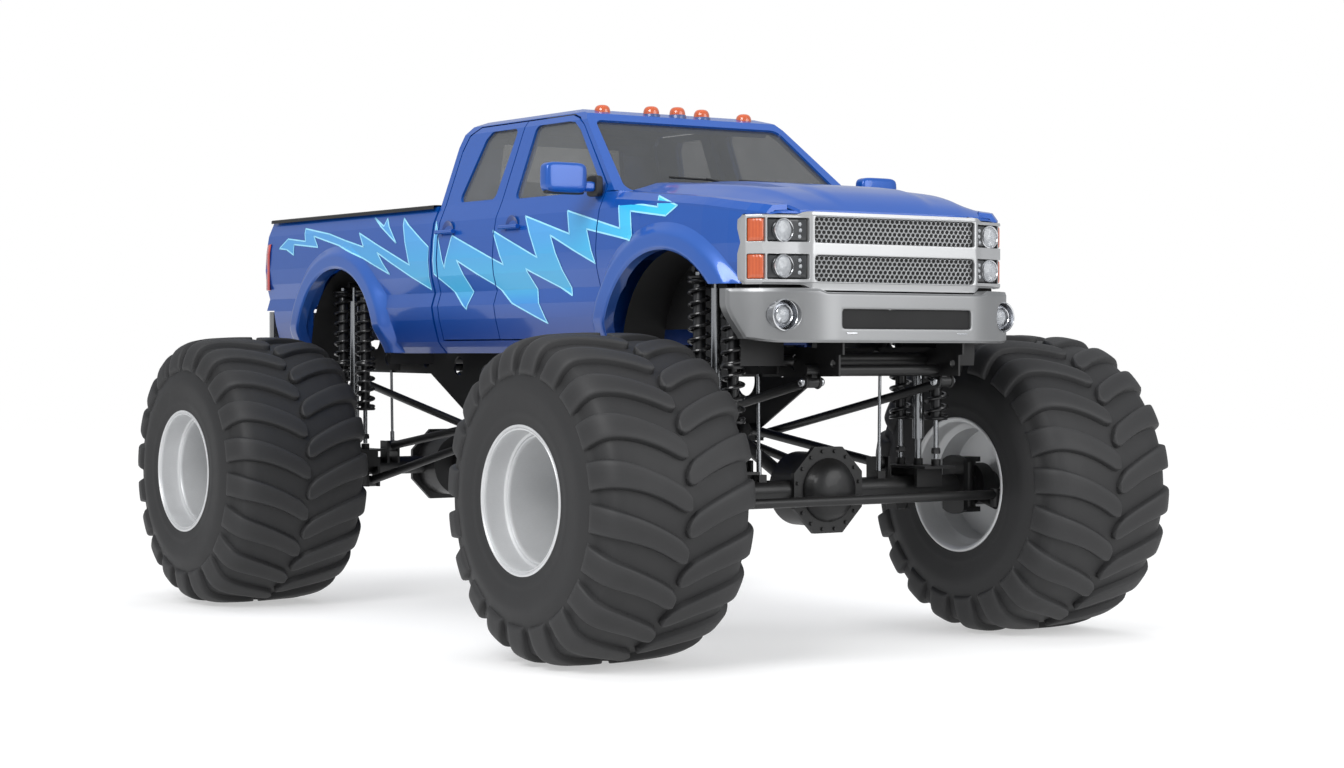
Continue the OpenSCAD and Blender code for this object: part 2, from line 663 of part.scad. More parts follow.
// An axle, with its pumpkin, tubes, shock shelf and link brackets; e is 1 at the front
module axle(e) {
    x = e * axle_x;
    end = kingpin_y - 88;
    cross_bar(x, axle_z, end, axle_r);
    // differential housing with a domed eight-sided cover, facing away from the truck's middle
    bar([x - e * 190, 0, axle_z], [x + e * 50, 0, axle_z], diff_r - 25);
    translate([x + e * 60, 0, axle_z]) rotate([0, 90, 0]) rotate([0, 0, 22.5])
        cylinder(r = diff_r + 25, h = 28, center = true, $fn = 8);
    translate([x + e * 60, 0, axle_z]) rotate([0, e * 90, 0]) cylinder(r1 = 175, r2 = 110, h = 90);
    bar([x - e * 180, 0, axle_z], [x - e * 330, 0, axle_z + 60], 70);
    both_sides() {
        // shelf for the shock absorbers
        box([x - 210, 560, shock_base - 70], [x + 210, 780, shock_base - 56]);
        for (dx = [-120, 100]) box([x + dx, 580, axle_z], [x + dx + 20, 760, shock_base - 60]);
        for (dx = [-150, 0, 150])
            bar([x + dx, shock_y, shock_base - 60], [x + dx, shock_y, shock_base - 20], 26);
        // link brackets
        box([x - e * 70 - 40, 560, axle_z - 130], [x - e * 70 + 40, 576.8, axle_z + 60]);
        box([x - e * 70 - 40, 640, axle_z - 130], [x - e * 70 + 40, 660, axle_z + 60]);
        box([x - 30, 380, axle_z], [x + 30, 430, axle_z + 90]);
        for (y = [424, 500.3])
            box([x - e * 78 - 48, y, axle_z + 20], [x - e * 78 + 48, y + 15.7, axle_z + 165]);
    }
}
module front_axle() color(black) {
    axle(1);
    // yokes that hold the kingpins
    both_sides() {
        difference() {
            translate([axle_x, kingpin_y - 105, axle_z]) rotate([-90, 0, 0]) cylinder(r = 165, h = 30);
            box([axle_x - 300, 0, axle_z - 300], [axle_x - 90, far, axle_z + 300]);
            box([axle_x + 90, 0, axle_z - 300], [axle_x + 300, far, axle_z + 300]);
        }
        for (s = [-1, 1])
            box([axle_x - 55, kingpin_y - 90, axle_z + s * 140 - 14], [axle_x + 55, kingpin_y + 50, axle_z + s * 140 + 14]);
    }
}
module rear_axle() color(black) {
    axle(-1);
    both_sides() {
        translate([-axle_x, kingpin_y - 110, axle_z]) rotate([-90, 0, 0]) cylinder(r = 150, h = 170);
        spindle(-axle_x);
    }
}
hub_y = 1240;                   // the rim's centre plate
hub_plate = 16;
hub_bore = 60;
run_gap = 0.05;                 // clearance of a spindle in its bore
module spindle(x) {
    shoulder = hub_y - hub_plate / 2 - 0.5;
    bar([x, kingpin_y, axle_z], [x, shoulder, axle_z], 70);
    bar([x, kingpin_y, axle_z], [x, shoulder + hub_plate + 10, axle_z], hub_bore - run_gap);
}
module drive_shafts() color([0.15, 0.15, 0.16]) {
    bar([axle_x - 333, 0, axle_z + 60], [777, 0, belly_z + 270], 38);
    bar([-axle_x + 337, 0, axle_z + 60], [-269, 0, belly_z + 160], 38);
}
eye_half = 29.7;                // half the width of a link's eye
module link(a, b) {
    bar(a, b, link_r);
    for (p = [a, b]) bar(p - [0, eye_half, 0], p + [0, eye_half, 0], 36);
}
module suspension_links() color(black) {
    for (e = [-1, 1]) both_sides() {
        link([e * (axle_x - 70), 610, axle_z - 95], [e * 750, frame_half + eye_half + 2 * seat_gap, belly_z - 10]);
        link([e * (axle_x - 90), 470, axle_z + 130],
             [e * 900, frame_half - plate_t - eye_half - 2 * seat_gap, belly_z + 70]);
    }
}
module coilovers() color([0.08, 0.08, 0.085]) {
    for (e = [-1, 1], dx = [-150, 150]) both_sides() {
        x = e * axle_x + dx;
        bar([x, shock_y, shock_base - 19.7], [x, shock_y, 1210], 14);
        bar([x, shock_y, 1205], [x, shock_y, 1980], 66);
        bar([x, shock_y, 1980], [x, shock_y, shock_top - shock_pin - seat_gap], 24);
    }
}
module dampers() color(steel) {
    for (e = [-1, 1]) both_sides() {
        x = e * axle_x;
        bar([x, shock_y, shock_base - 19.7], [x, shock_y, 1100], 18);
        bar([x, shock_y, 1100], [x, shock_y, 1380], 32);
        bar([x, shock_y, 1375], [x, shock_y, 1910], 27);
        bar([x, shock_y, 1910], [x, shock_y, shock_top - shock_pin - seat_gap], 12);
    }
}
module limit_rods() color(steel) {
    for (e = [-1, 1]) both_sides() {
        bar([e * axle_x, 409, axle_z + 90.3], [e * axle_x, frame_half + 9.9, 1500], 9);
        bar([e * axle_x, 409, axle_z + 90.3], [e * axle_x, 411, 1060], 14);
    }
}

// ---------------------------------------------------------------- steering and wheels

steer_arm_x = 240;              // the tie rod's distance ahead of the kingpins
steer_arm_y = kingpin_y;        // level arms, so the tie rod keeps its length
steer_arm_z = 790;
module knuckle_left() color(black) {
    translate([axle_x, kingpin_y, axle_z - 125.5]) cylinder(r = 48, h = 251);
    translate([axle_x, kingpin_y + 20, axle_z]) rotate([-90, 0, 0]) cylinder(r = 118, h = 90);
    spindle(axle_x);
    bar([axle_x + 30, kingpin_y + 30, axle_z - 60], [axle_x + steer_arm_x, steer_arm_y, steer_arm_z - 62], 22);
    translate([axle_x + steer_arm_x, steer_arm_y, steer_arm_z - 70]) cylinder(r = 34, h = 40);
}
module tie_rod() color([0.12, 0.12, 0.13]) {
    bar([axle_x + steer_arm_x, -steer_arm_y, steer_arm_z], [axle_x + steer_arm_x, steer_arm_y, steer_arm_z], 26);
    both_sides() translate([axle_x + steer_arm_x, steer_arm_y, steer_arm_z - 29.7]) cylinder(r = 32, h = 60);
}
// Half of the tyre's outline: [distance from its middle plane, radius]
function tyre_profile() = [
    [0, tyre_r], [tyre_w * 0.28, tyre_r - 6], [tyre_w * 0.38, tyre_r - 22],
    [tyre_w * 0.44, tyre_r - 52], [tyre_w * 0.475, tyre_r - 110], [tyre_w * 0.495, tyre_r - 200],
    [tyre_w * 0.5, tyre_r - 300], [tyre_w * 0.49, tyre_r - 400], [rim_half - 4, rim_r + seat_gap]
];
function tyre_inside() = [
    [rim_half - 4 - tyre_wall, rim_r + seat_gap], [tyre_w * 0.5 - tyre_wall - 6, tyre_r - 400],
    [tyre_w * 0.5 - tyre_wall, tyre_r - 300], [tyre_w * 0.44 - tyre_wall * 0.6, tyre_r - 120],
    [tyre_w * 0.36 - tyre_wall * 0.4, tyre_r - tyre_wall - 40], [0, tyre_r - tyre_wall - 10]
];
module wheel_at(x, side) {
    translate([x, side * wheel_y, axle_z]) rotate([90, 0, 0]) mirror([0, 0, side < 0 ? 1 : 0]) children();
}
module tyre(x, side) color([0.05, 0.05, 0.05]) {
    half = concat(tyre_profile(), tyre_inside());
    wheel_at(x, side) for (m = [0, 1]) mirror([0, 0, m]) rotate_extrude($fn = 96)
        polygon([for (p = half) [p[1], p[0]]]);
}
// The rim, drawn from its outer lip inwards: the plate stands where the hub is
plate_s = hub_y - track / 2;     // the plate's distance from the wheel's middle plane
module rim(x, side) color(steel) {
    r = rim_r;
    wheel_at(x, side) mirror([0, 0, 1]) rotate_extrude($fn = 96)
        polygon([
            [r, rim_half], [r, rim_half - 16], [r - 22, rim_half - 22], [r - 22, rim_half - 130],
            [r - 60, rim_half - 160], [r - 60, -rim_half + 110], [r - 22, -rim_half + 80],
            [r - 22, -rim_half + 22], [r, -rim_half + 16], [r, -rim_half],
            [r - 10, -rim_half], [r - 34, -rim_half + 18], [r - 34, -rim_half + 76],
            [r - 72, -rim_half + 106], [r - 72, plate_s - hub_plate / 2], [hub_bore, plate_s - hub_plate / 2],
            [hub_bore, plate_s + hub_plate / 2], [r - 72, plate_s + hub_plate / 2], [r - 72, rim_half - 156], [r - 34, rim_half - 126],
            [r - 34, rim_half - 18], [r - 10, rim_half]
        ]);
}

// ---------------------------------------------------------------- nodes

chassis_frame();
engine_block();
transfer_case();
front_axle();
rear_axle();
drive_shafts();
suspension_links();
coilovers();
dampers();
limit_rods();
cab_shell();
seats();
dashboard();
windscreen();
rear_window();
front_fenders();
inner_fenders();
hood();
front_door_left();  // door_front_left
mirror([0, 1, 0]) front_door_left();  // door_front_right
rear_door_left();  // door_rear_left
mirror([0, 1, 0]) rear_door_left();  // door_rear_right
side_glass(front_window);  // glass_front_left
mirror([0, 1, 0]) side_glass(front_window);  // glass_front_right
side_glass(rear_window_side);  // glass_rear_left
mirror([0, 1, 0]) side_glass(rear_window_side);  // glass_rear_right
mirror_left();
mirror([0, 1, 0]) mirror_left();  // mirror_right
cargo_bed();
tailgate();
grille_surround();
grille_mesh();
headlamps();
fog_lamps();
marker_lamps();
tail_lamps();
front_bumper();
rear_bumper();
knuckle_left();
mirror([0, 1, 0]) knuckle_left();  // knuckle_right
tie_rod();
tyre(axle_x, 1);  // tyre_front_left
tyre(axle_x, -1);  // tyre_front_right
tyre(-axle_x, 1);  // tyre_rear_left
tyre(-axle_x, -1);  // tyre_rear_right
rim(axle_x, 1);  // rim_front_left
rim(axle_x, -1);  // rim_front_right
rim(-axle_x, 1);  // rim_rear_left
rim(-axle_x, -1);  // rim_rear_right
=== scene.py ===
"""Monster truck: the looks of the part, built on the CAD frame.

Panel > operator for each group of pieces. Metres, +X forward, +Y left, +Z up.
"""

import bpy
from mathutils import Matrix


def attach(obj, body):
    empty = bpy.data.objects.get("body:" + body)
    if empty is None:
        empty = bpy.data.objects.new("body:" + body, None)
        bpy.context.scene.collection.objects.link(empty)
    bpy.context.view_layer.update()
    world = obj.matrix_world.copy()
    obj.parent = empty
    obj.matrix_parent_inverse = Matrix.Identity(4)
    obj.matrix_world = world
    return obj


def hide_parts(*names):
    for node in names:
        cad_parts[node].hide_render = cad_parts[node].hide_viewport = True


bl_info = {
    "name": "Monster Truck",
    "version": (1, 0, 0),
    "blender": (4, 5, 0),
    "location": "View3D > Sidebar > Truck",
    "description": "Builds the visible pieces and materials of a monster truck",
    "category": "Object",
}

from math import cos, pi, radians, sin, tau

import bmesh
import bpy
import numpy as np
from bpy.props import FloatProperty, IntProperty

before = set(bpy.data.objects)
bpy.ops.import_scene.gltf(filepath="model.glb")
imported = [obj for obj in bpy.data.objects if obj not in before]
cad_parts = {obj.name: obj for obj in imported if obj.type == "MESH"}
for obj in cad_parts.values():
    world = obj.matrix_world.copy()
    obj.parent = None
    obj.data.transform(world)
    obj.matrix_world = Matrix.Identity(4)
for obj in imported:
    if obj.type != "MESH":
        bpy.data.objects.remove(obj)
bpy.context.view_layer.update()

SILL = 1.572
HALF = 0.913
AXLE_X = 2.008
AXLE_Z = 0.838
ARCH_X = 1.820
ARCH_Z = 1.580
ARCH_R = 0.545
SIDES = ((1, "left"), (-1, "right"))

# a body side's inset from its widest, against height above the sill, and the nose's against x
SIDE = np.array([[0, 113], [38, 78], [68, 55], [200, 20], [280, 8], [362, 33], [460, 8], [558, 0],
                 [680, 8], [783, 25], [883, 68], [1080, 138]]) / 1000
TAPER = np.array([[1200, 0], [1600, 0], [1900, 8], [2150, 22], [2350, 45], [2470, 66], [2530, 96],
                  [2556, 130], [2622, 175]]) / 1000


# ------------------------------------------------------------------ nodes by arithmetic
class Field:
    """A number on a node's output. + - * ** with fields and numbers add Math nodes."""

    def __init__(self, graph, socket):
        self.graph, self.socket = graph, socket

    def _math(self, operation, *others):
        values = dict(enumerate((self,) + others))
        return self.graph.add("ShaderNodeMath", values, operation=operation)

    def __add__(self, o): return self._math("ADD", o)
    __radd__ = __add__
    def __mul__(self, o): return self._math("MULTIPLY", o)
    __rmul__ = __mul__
    def __sub__(self, o): return self._math("SUBTRACT", o)
    def __pow__(self, o): return self._math("POWER", o)
    def __abs__(self): return self._math("ABSOLUTE")
    def sin(self): return self._math("SINE")

    def ramp(self, low, high, start=0.0, end=1.0, kind="SMOOTHSTEP"):
        """Goes from start to end as the field goes from low to high."""
        return self.graph.add("ShaderNodeMapRange", {0: self, 1: low, 2: high, 3: start, 4: end},
                              interpolation_type=kind)


class Graph:
    """One material's nodes. Every node is added through add()."""

    def __init__(self, name):
        self.material = bpy.data.materials.new(name)
        self.material.use_nodes = True
        self.nodes, self.links = self.material.node_tree.nodes, self.material.node_tree.links
        self.nodes.clear()

    def add(self, kind, inputs=(), out=0, **settings):
        """A node of that kind: settings are its properties, and inputs go by name or index."""
        node = self.nodes.new(kind)
        for key, value in settings.items():
            setattr(node, key, value)
        for key, value in dict(inputs).items():
            if isinstance(value, Field):
                self.links.new(value.socket, node.inputs[key])
            elif value is not None:
                node.inputs[key].default_value = value
        return Field(self, node.outputs[out]) if node.outputs else None

    def place(self):
        """x, y and z of the point, in the object's own metres."""
        where = self.add("ShaderNodeTexCoord", out="Object")
        return [self.add("ShaderNodeSeparateXYZ", {0: where}, out=i) for i in range(3)]

    def facing(self):
        """The shading normal's x, y and z in the object's own directions."""
        normal = self.add("ShaderNodeTexCoord", out="Normal")
        return [self.add("ShaderNodeSeparateXYZ", {0: normal}, out=i) for i in range(3)]

    def noise(self, scale, detail=3.0, roughness=0.5, stretch=(1, 1, 1)):
        where = self.add("ShaderNodeTexCoord", out="Object")
        where = self.add("ShaderNodeMapping", {"Vector": where, "Scale": stretch})
        return self.add("ShaderNodeTexNoise", {"Vector": where, "Scale": scale, "Detail": detail,
                                               "Roughness": roughness})

    def cells(self, scale):
        where = self.add("ShaderNodeTexCoord", out="Object")
        return self.add("ShaderNodeTexVoronoi", {"Vector": where, "Scale": scale})

    def mix(self, factor, a, b):
        """Colour a where factor is 0, and b where it is 1."""
        colour = [c if isinstance(c, Field) else (*c, 1.0) for c in (a, b)]
        return self.add("ShaderNodeMix", {0: factor, 6: colour[0], 7: colour[1]}, out=2,
                        data_type="RGBA")

    def finish(self, bump=None, strength=0.3, distance=0.001, **inputs):
        """The Principled shader, its output and an optional bump from a height field."""
        names = {k.replace("_", " ").title(): v for k, v in inputs.items()}
        if "Ior" in names:
            names["IOR"] = names.pop("Ior")
        if bump is not None:
            names["Normal"] = self.add("ShaderNodeBump", {
                "Strength": strength, "Distance": distance, "Height": bump})
        for key, value in names.items():
            if isinstance(value, tuple) and len(value) == 3:
                names[key] = (*value, 1.0)
        shader = self.add("ShaderNodeBsdfPrincipled", names)
        self.add("ShaderNodeOutputMaterial", {"Surface": shader})
        return self.material


# ------------------------------------------------------------------ materials
def rgb(r, g, b):
    """Display values 0-255 as linear colour: ((v + 0.055) / 1.055) ** 2.4, or v / 12.92 when dark."""
    v = np.array([r, g, b]) / 255
    return tuple(float(c) for c in np.where(v > 0.04045, ((v + 0.055) / 1.055) ** 2.4, v / 12.92))


def paint(name="paint_blue", colour=(4, 82, 172), deep=(0, 48, 126), lift=1.0):
    """Two-stage enamel: orange peel, fine flake, a darker lower body and road dust by the sill."""
    g = Graph(name)
    z = g.place()[2]
    flake = g.cells(900.0)
    drift = g.noise(1.6, 2.0)
    # painted shade: from z 1.93 down to 1.66 the paint darkens three quarters of the way to the deep colour
    low = z.ramp(1.93, 1.66)
    base = g.mix(low * 0.75, rgb(*colour), rgb(*deep))
    base = g.mix((flake * 0.10 + drift * 0.10).ramp(0.0, 0.2, 0.0, 0.35), base, rgb(*deep))
    dust = g.noise(9.0, 5.0) * z.ramp(1.72, 1.58)
    base = g.mix(dust * 0.22, base, rgb(96, 92, 88))
    return g.finish(base_color=base, roughness=0.30 + drift * 0.08 + dust * 0.25, metallic=0.25,
                    coat_weight=0.6 * lift, coat_roughness=0.06,
                    bump=g.noise(260.0, 1.0), strength=0.04, distance=0.0004)


def decal():
    """Vinyl: pale cyan on top, deeper blue-green lower, with a brushed, cloudy tone."""
    g = Graph("flash_cyan")
    x, _, z = g.place()
    cloud = g.noise(5.0, 4.0, stretch=(0.5, 1, 1.6))
    tone = g.mix((z + cloud * 0.15).ramp(2.02, 2.42), rgb(52, 160, 208), rgb(66, 150, 214))
    tone = g.mix(x.ramp(0.6, 1.9), tone, rgb(44, 190, 232))
    tone = g.mix(z.ramp(1.95, 1.84), tone, rgb(38, 132, 206))
    return g.finish(base_color=tone, roughness=0.34, coat_weight=0.5, coat_roughness=0.08,
                    bump=g.noise(420.0, 1.0), strength=0.03, distance=0.0003)


def pinstripe():
    """The lighter pinstripe round the flash, slightly uneven where it was laid."""
    g = Graph("flash_outline")
    tone = g.mix(g.noise(14.0, 2.0), rgb(120, 206, 240), rgb(166, 226, 250))
    return g.finish(base_color=tone, roughness=0.32 + g.noise(30.0) * 0.1, coat_weight=0.5)


def satin(name, light, dark, roughness=0.3, metallic=1.0, grain=(1, 60, 60), strength=0.12):
    """Brushed metal: fine streaks along one way, smudges, and duller hollows."""
    g = Graph(name)
    streak = g.noise(24.0, 4.0, 0.6, stretch=grain)
    smudge = g.noise(3.5, 3.0)
    tone = g.mix(streak * 0.5 + smudge * 0.5, rgb(*dark), rgb(*light))
    return g.finish(base_color=tone, metallic=metallic,
                    roughness=roughness + (smudge - 0.5) * 0.16 + (streak - 0.5) * 0.12,
                    bump=streak, strength=strength, distance=0.0005)


def enamel(name, light, dark, roughness=0.42, scale=70.0, metallic=0.0, strength=0.2,
           dust=0.15, coat=0.0):
    """Powder coat or moulded plastic: stipple, patchy gloss and a film of dust."""
    g = Graph(name)
    stipple = g.noise(scale * 6, 2.0)
    patch = g.noise(4.0, 4.0)
    z = g.facing()[2]
    # faces that point up turn a patchy light grey and rougher, scaled by the dust weight
    film = z.ramp(0.3, 1.0) * patch
    tone = g.mix(patch, rgb(*dark), rgb(*light))
    tone = g.mix(film * dust, tone, rgb(120, 116, 110))
    return g.finish(base_color=tone, metallic=metallic, coat_weight=coat,
                    roughness=roughness + (patch - 0.5) * 0.18 + film * dust,
                    bump=stipple, strength=strength, distance=0.0006)


def rubber():
    """Tread rubber: grey bloom on the raised faces, darker in the grooves, fine mould grain."""
    g = Graph("rubber")
    grain = g.noise(520.0, 3.0)
    bloom = g.noise(6.0, 5.0, 0.6)
    # pointiness: the lighter grey on convex edges is wear, and the dark it leaves in concave grooves and
    # corners is painted shade
    edge = g.add("ShaderNodeNewGeometry", out="Pointiness").ramp(0.46, 0.56)
    tone = g.mix(bloom, rgb(14, 14, 15), rgb(28, 28, 29))
    tone = g.mix(edge * 0.5, tone, rgb(60, 60, 61))
    return g.finish(base_color=tone, roughness=0.62 + (bloom - 0.5) * 0.2, ior=1.45,
                    bump=grain + g.noise(40.0, 2.0) * 0.6, strength=0.22, distance=0.001)


def glass(name, tint, alpha):
    """Tinted pane: see-through by alpha, with a dusty film that thickens towards its edges."""
    g = Graph(name)
    film = g.noise(7.0, 4.0)
    return g.finish(base_color=g.mix(film * 0.5, rgb(*tint), rgb(70, 72, 74)),
                    alpha=film.ramp(0.0, 1.0, alpha - 0.05, alpha + 0.06, "LINEAR"),
                    roughness=0.04 + film * 0.05, coat_weight=0.6,
                    bump=g.noise(2.0, 1.0), strength=0.02, distance=0.002)


def lens(name, light, dark, alpha=1.0, rib=0.0, glow=0.0):
    """Moulded lens: upright ribs, a darker core and a soft inner glow."""
    g = Graph(name)
    y = g.place()[1]
    ribs = (y * rib).sin() * 0.5 + 0.5 if rib else g.cells(60.0)
    core = g.noise(22.0, 2.0)
    tone = g.mix(core * 0.5 + ribs * 0.3, rgb(*light), rgb(*dark))
    return g.finish(base_color=tone, roughness=0.14 + core * 0.08, coat_weight=0.9, alpha=alpha,
                    emission_color=tone, emission_strength=glow,
                    bump=ribs, strength=0.25, distance=0.0015)


def fabric(name, light, dark):
    """Woven seat cloth: crossed threads, stitched channels and worn tone."""
    g = Graph(name)
    x, y, z = g.place()
    weave = ((y * 1900.0).sin() * ((z + x) * 1900.0).sin()) * 0.5 + 0.5
    wear = g.noise(5.0, 3.0)
    channel = abs((y * 42.0).sin()).ramp(0.0, 0.25)
    tone = g.mix(wear * 0.6 + weave * 0.4, rgb(*dark), rgb(*light))
    return g.finish(base_color=tone, roughness=0.86, sheen_weight=0.3,
                    bump=weave * 0.3 + channel, strength=0.5, distance=0.003)


# ------------------------------------------------------------------ mesh helpers
def piece(name, points, faces, material, body, slot, replaces=(), smooth=40,
          outward=True):
    """A mesh object from an (n, 3) array and (m, 4) rows of indices; equal neighbours make a triangle.

    Points that meet are merged and the faces turned outward, unless outward is False.
    """
    mesh = bpy.data.meshes.new(name)
    points, faces = np.asarray(points, float), np.asarray(faces, int)
    keep = np.roll(faces, -1, axis=1) != faces
    counts = keep.sum(axis=1)
    faces, keep, counts = faces[counts > 2], keep[counts > 2], counts[counts > 2]
    mesh.vertices.add(len(points))
    mesh.vertices.foreach_set("co", points.ravel())
    mesh.loops.add(int(counts.sum()))
    mesh.loops.foreach_set("vertex_index", faces[keep])
    mesh.polygons.add(len(faces))
    mesh.polygons.foreach_set("loop_start", np.concatenate([[0], np.cumsum(counts)[:-1]]))
    mesh.polygons.foreach_set("use_smooth", np.ones(len(faces), bool))
    mesh.update(calc_edges=True)
    mesh.validate()
    if outward:
        bm = bmesh.new()
        bm.from_mesh(mesh)
        bmesh.ops.remove_doubles(bm, verts=bm.verts, dist=1e-6)
        bmesh.ops.recalc_face_normals(bm, faces=bm.faces)
        bm.to_mesh(mesh)
        bm.free()
    mesh.set_sharp_from_angle(angle=radians(smooth))
    mesh.materials.append(MATERIALS[material])
    return placed(bpy.data.objects.new(name, mesh), body, replaces)


def placed(obj, body, replaces=()):
    """Links an object to the scene and gives it its body, its slot and the nodes it stands for."""
    bpy.context.scene.collection.objects.link(obj)
    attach(obj, body)
    if replaces:
        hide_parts(*replaces)
    return obj


def quads(rows, columns, wrap_rows=False, wrap_columns=False):
    """Faces of a rows x columns grid of points, closed on itself where asked."""
    i, j = np.meshgrid(np.arange(rows - (not wrap_rows)), np.arange(columns - (not wrap_columns)),
                       indexing="ij")
    a, b = (i + 1) % rows, (j + 1) % columns
    corners = [i * columns + j, a * columns + j, a * columns + b, i * columns + b]
    return np.stack([c.ravel() for c in corners], axis=1)


def joined(*parts):
    """Several (points, faces) as one."""
    points, faces, start = [], [], 0
    for p, f in parts:
        p = np.asarray(p, float).reshape(-1, 3)
        points.append(p)
        faces.append(np.asarray(f, int) + start)
        start += len(p)
    return np.vstack(points), np.vstack(faces)


def grid(points, **wrap):
    """An (m, n, 3) array as (points, faces)."""
    points = np.asarray(points, float)
    return points.reshape(-1, 3), quads(points.shape[0], points.shape[1], **wrap)


def border(p):
    """The points round the edge of an (m, n, k) grid, in order."""
    return np.concatenate([p[0], p[1:, -1], p[-1, -2::-1], p[-2:0:-1, 0]])


def lathe(profile, centre=(0, 0, 0), axis="y", side=1, around=96, loop=True):
    """(a, r) along and out from an axis: y = side a, x = r cos t, z = r sin t, and so on round."""
    profile = np.asarray(profile, float)
    t = np.linspace(0, tau, around, endpoint=False)[:, None]
    a, r = side * profile[None, :, 0] + 0 * t, profile[None, :, 1]
    p, q = r * np.cos(t), r * np.sin(t)
    order = {"x": (a, p, q), "y": (p, a, q), "z": (p, q, a)}[axis]
    return grid(np.stack(order, axis=-1) + np.array(centre), wrap_rows=True, wrap_columns=loop)


def capped(profile, centre, axis="z", side=1, around=32):
    """A lathe whose profile is left open, since it starts and ends on the axis or out of sight."""
    return lathe(profile, centre, axis, side, around, loop=False)


def tube(path, radius, sides=12):
    """A round bar along a path: p + radius (cos t u + sin t v), with u and v square to the path."""
    path = np.asarray(path, float)
    radius = np.broadcast_to(np.asarray(radius, float), (len(path),))
    path = np.vstack([path[:1], path, path[-1:]])
    radius = np.concatenate([[1e-5], radius, [1e-5]])
    ahead = np.gradient(path, axis=0)
    ahead[:2], ahead[-2:] = path[2] - path[1], path[-2] - path[-3]
    ahead /= np.linalg.norm(ahead, axis=1, keepdims=True) + 1e-12
    up = np.where(np.abs(ahead[:, 2:3]) > 0.9, np.array([[1.0, 0, 0]]), np.array([[0, 0, 1.0]]))
    u = np.cross(ahead, up)
    u /= np.linalg.norm(u, axis=1, keepdims=True) + 1e-12
    v = np.cross(ahead, u)
    t = np.linspace(0, tau, sides, endpoint=False)[None, :, None]
    ring = path[:, None] + radius[:, None, None] * (np.cos(t) * u[:, None] + np.sin(t) * v[:, None])
    return grid(ring, wrap_columns=True)


def slab(outline, low, high, axis="y", bevel=0.004):
    """A plate with that outline, in the two other axes, from low to high, its rims rounded off."""
    outline = np.asarray(outline, float)
    middle = outline.mean(axis=0)
    reach = np.abs(outline - middle).max()
    layers = [(1e-4, low), (1 - bevel / reach, low), (1, low + bevel), (1, high - bevel),
              (1 - bevel / reach, high), (1e-4, high)]
    rows = []
    for size, level in layers:
        p = middle + (outline - middle) * size
        flat = {"x": (p[:, 0] * 0 + level, p[:, 0], p[:, 1]),
                "y": (p[:, 0], p[:, 0] * 0 + level, p[:, 1]),
                "z": (p[:, 0], p[:, 1], p[:, 0] * 0 + level)}[axis]
        rows.append(np.stack(flat, axis=-1))
    return grid(rows, wrap_columns=True)


def rounded(low, high, radius=0.02, corner=5):
    """A rectangle from low to high with corners of that radius, corner + 1 points each."""
    low, high = np.asarray(low, float), np.asarray(high, float)
    radius = min(radius, *(high - low) * 0.499)
    t = np.linspace(0, pi / 2, corner + 1)
    parts = []
    corners = [(high[0], high[1]), (low[0], high[1]), (low[0], low[1]), (high[0], low[1])]
    for k, (cx, cy) in enumerate(corners):
        c = np.array([cx, cy]) - radius * np.sign(np.array([cx, cy]) - (low + high) / 2)
        a = t + k * pi / 2
        parts.append(c + radius * np.stack([np.cos(a), np.sin(a)], axis=-1))
    return np.vstack(parts)


def box(low, high, bevel=0.005, axis="y"):
    """A block with rounded edges."""
    low, high = np.asarray(low, float), np.asarray(high, float)
    i, j = {"x": (1, 2), "y": (0, 2), "z": (0, 1)}[axis]
    k = 3 - i - j
    return slab(rounded(low[[i, j]], high[[i, j]], bevel * 2.5, 3), low[k], high[k], axis, bevel)


def pillow(low, high, power):
    """A rounded block: each axis is half-length times sign(c) |c|^(2 / power) of a sphere's cosines."""
    low, high = np.asarray(low, float), np.asarray(high, float)
    a, b = np.meshgrid(np.linspace(-pi / 2, pi / 2, 22), np.linspace(0, tau, 44, endpoint=False),
                       indexing="ij")

    def bent(v):
        return np.sign(v) * np.abs(v) ** (2 / power)

    ring = bent(np.cos(a))
    unit = np.stack([ring * bent(np.cos(b)), ring * bent(np.sin(b)), bent(np.sin(a))], axis=-1)
    return grid((low + high) / 2 + unit * (high - low) / 2, wrap_columns=True)


def bolt(at, axis, size, tall, side=1):
    """A hexagon head on a washer."""
    profile = [(0, size * 1.25), (tall * 0.2, size * 1.25), (tall * 0.22, size), (tall * 0.9, size),
               (tall, size * 0.85), (tall, 1e-5), (0, 1e-5)]
    return lathe(profile, at, axis, side, 6)


def smooth(x, low, high):
    """3 t^2 - 2 t^3, with t = (x - low) / (high - low) held to 0-1."""
    t = np.clip((x - low) / (high - low), 0, 1)
    return t * t * (3 - 2 * t)


def eased(points, count, window):
    """A polyline resampled by length to count points, then averaged over a window to round it."""
    points = np.asarray(points, float)
    along = np.concatenate([[0], np.cumsum(np.linalg.norm(np.diff(points, axis=0), axis=1))])
    s = np.linspace(0, along[-1], count)
    fine = np.stack([np.interp(s, along, points[:, k]) for k in range(points.shape[1])], axis=-1)
    pad = np.vstack([2 * fine[0] - fine[window:0:-1], fine, 2 * fine[-1] - fine[-2:-window - 2:-1]])
    kernel = np.hanning(2 * window + 3)[1:-1]
    kernel /= kernel.sum()
    return np.stack([np.convolve(pad[:, k], kernel, "valid") for k in range(points.shape[1])], axis=-1)


# ------------------------------------------------------------------ wheels
HALF_TRACK = 1.431
WHEELS = {"front_left": (AXLE_X, HALF_TRACK), "front_right": (AXLE_X, -HALF_TRACK),
          "rear_left": (-AXLE_X, HALF_TRACK), "rear_right": (-AXLE_X, -HALF_TRACK)}
# half a tyre's outline, as (y, r), from the tread's middle to the bead
TYRE = [(0, .838), (.15, .8365), (.266, .832), (.361, .816), (.418, .786), (.451, .728), (.470, .638),
        (.4745, .538), (.4655, .438), (.459, .3797)]


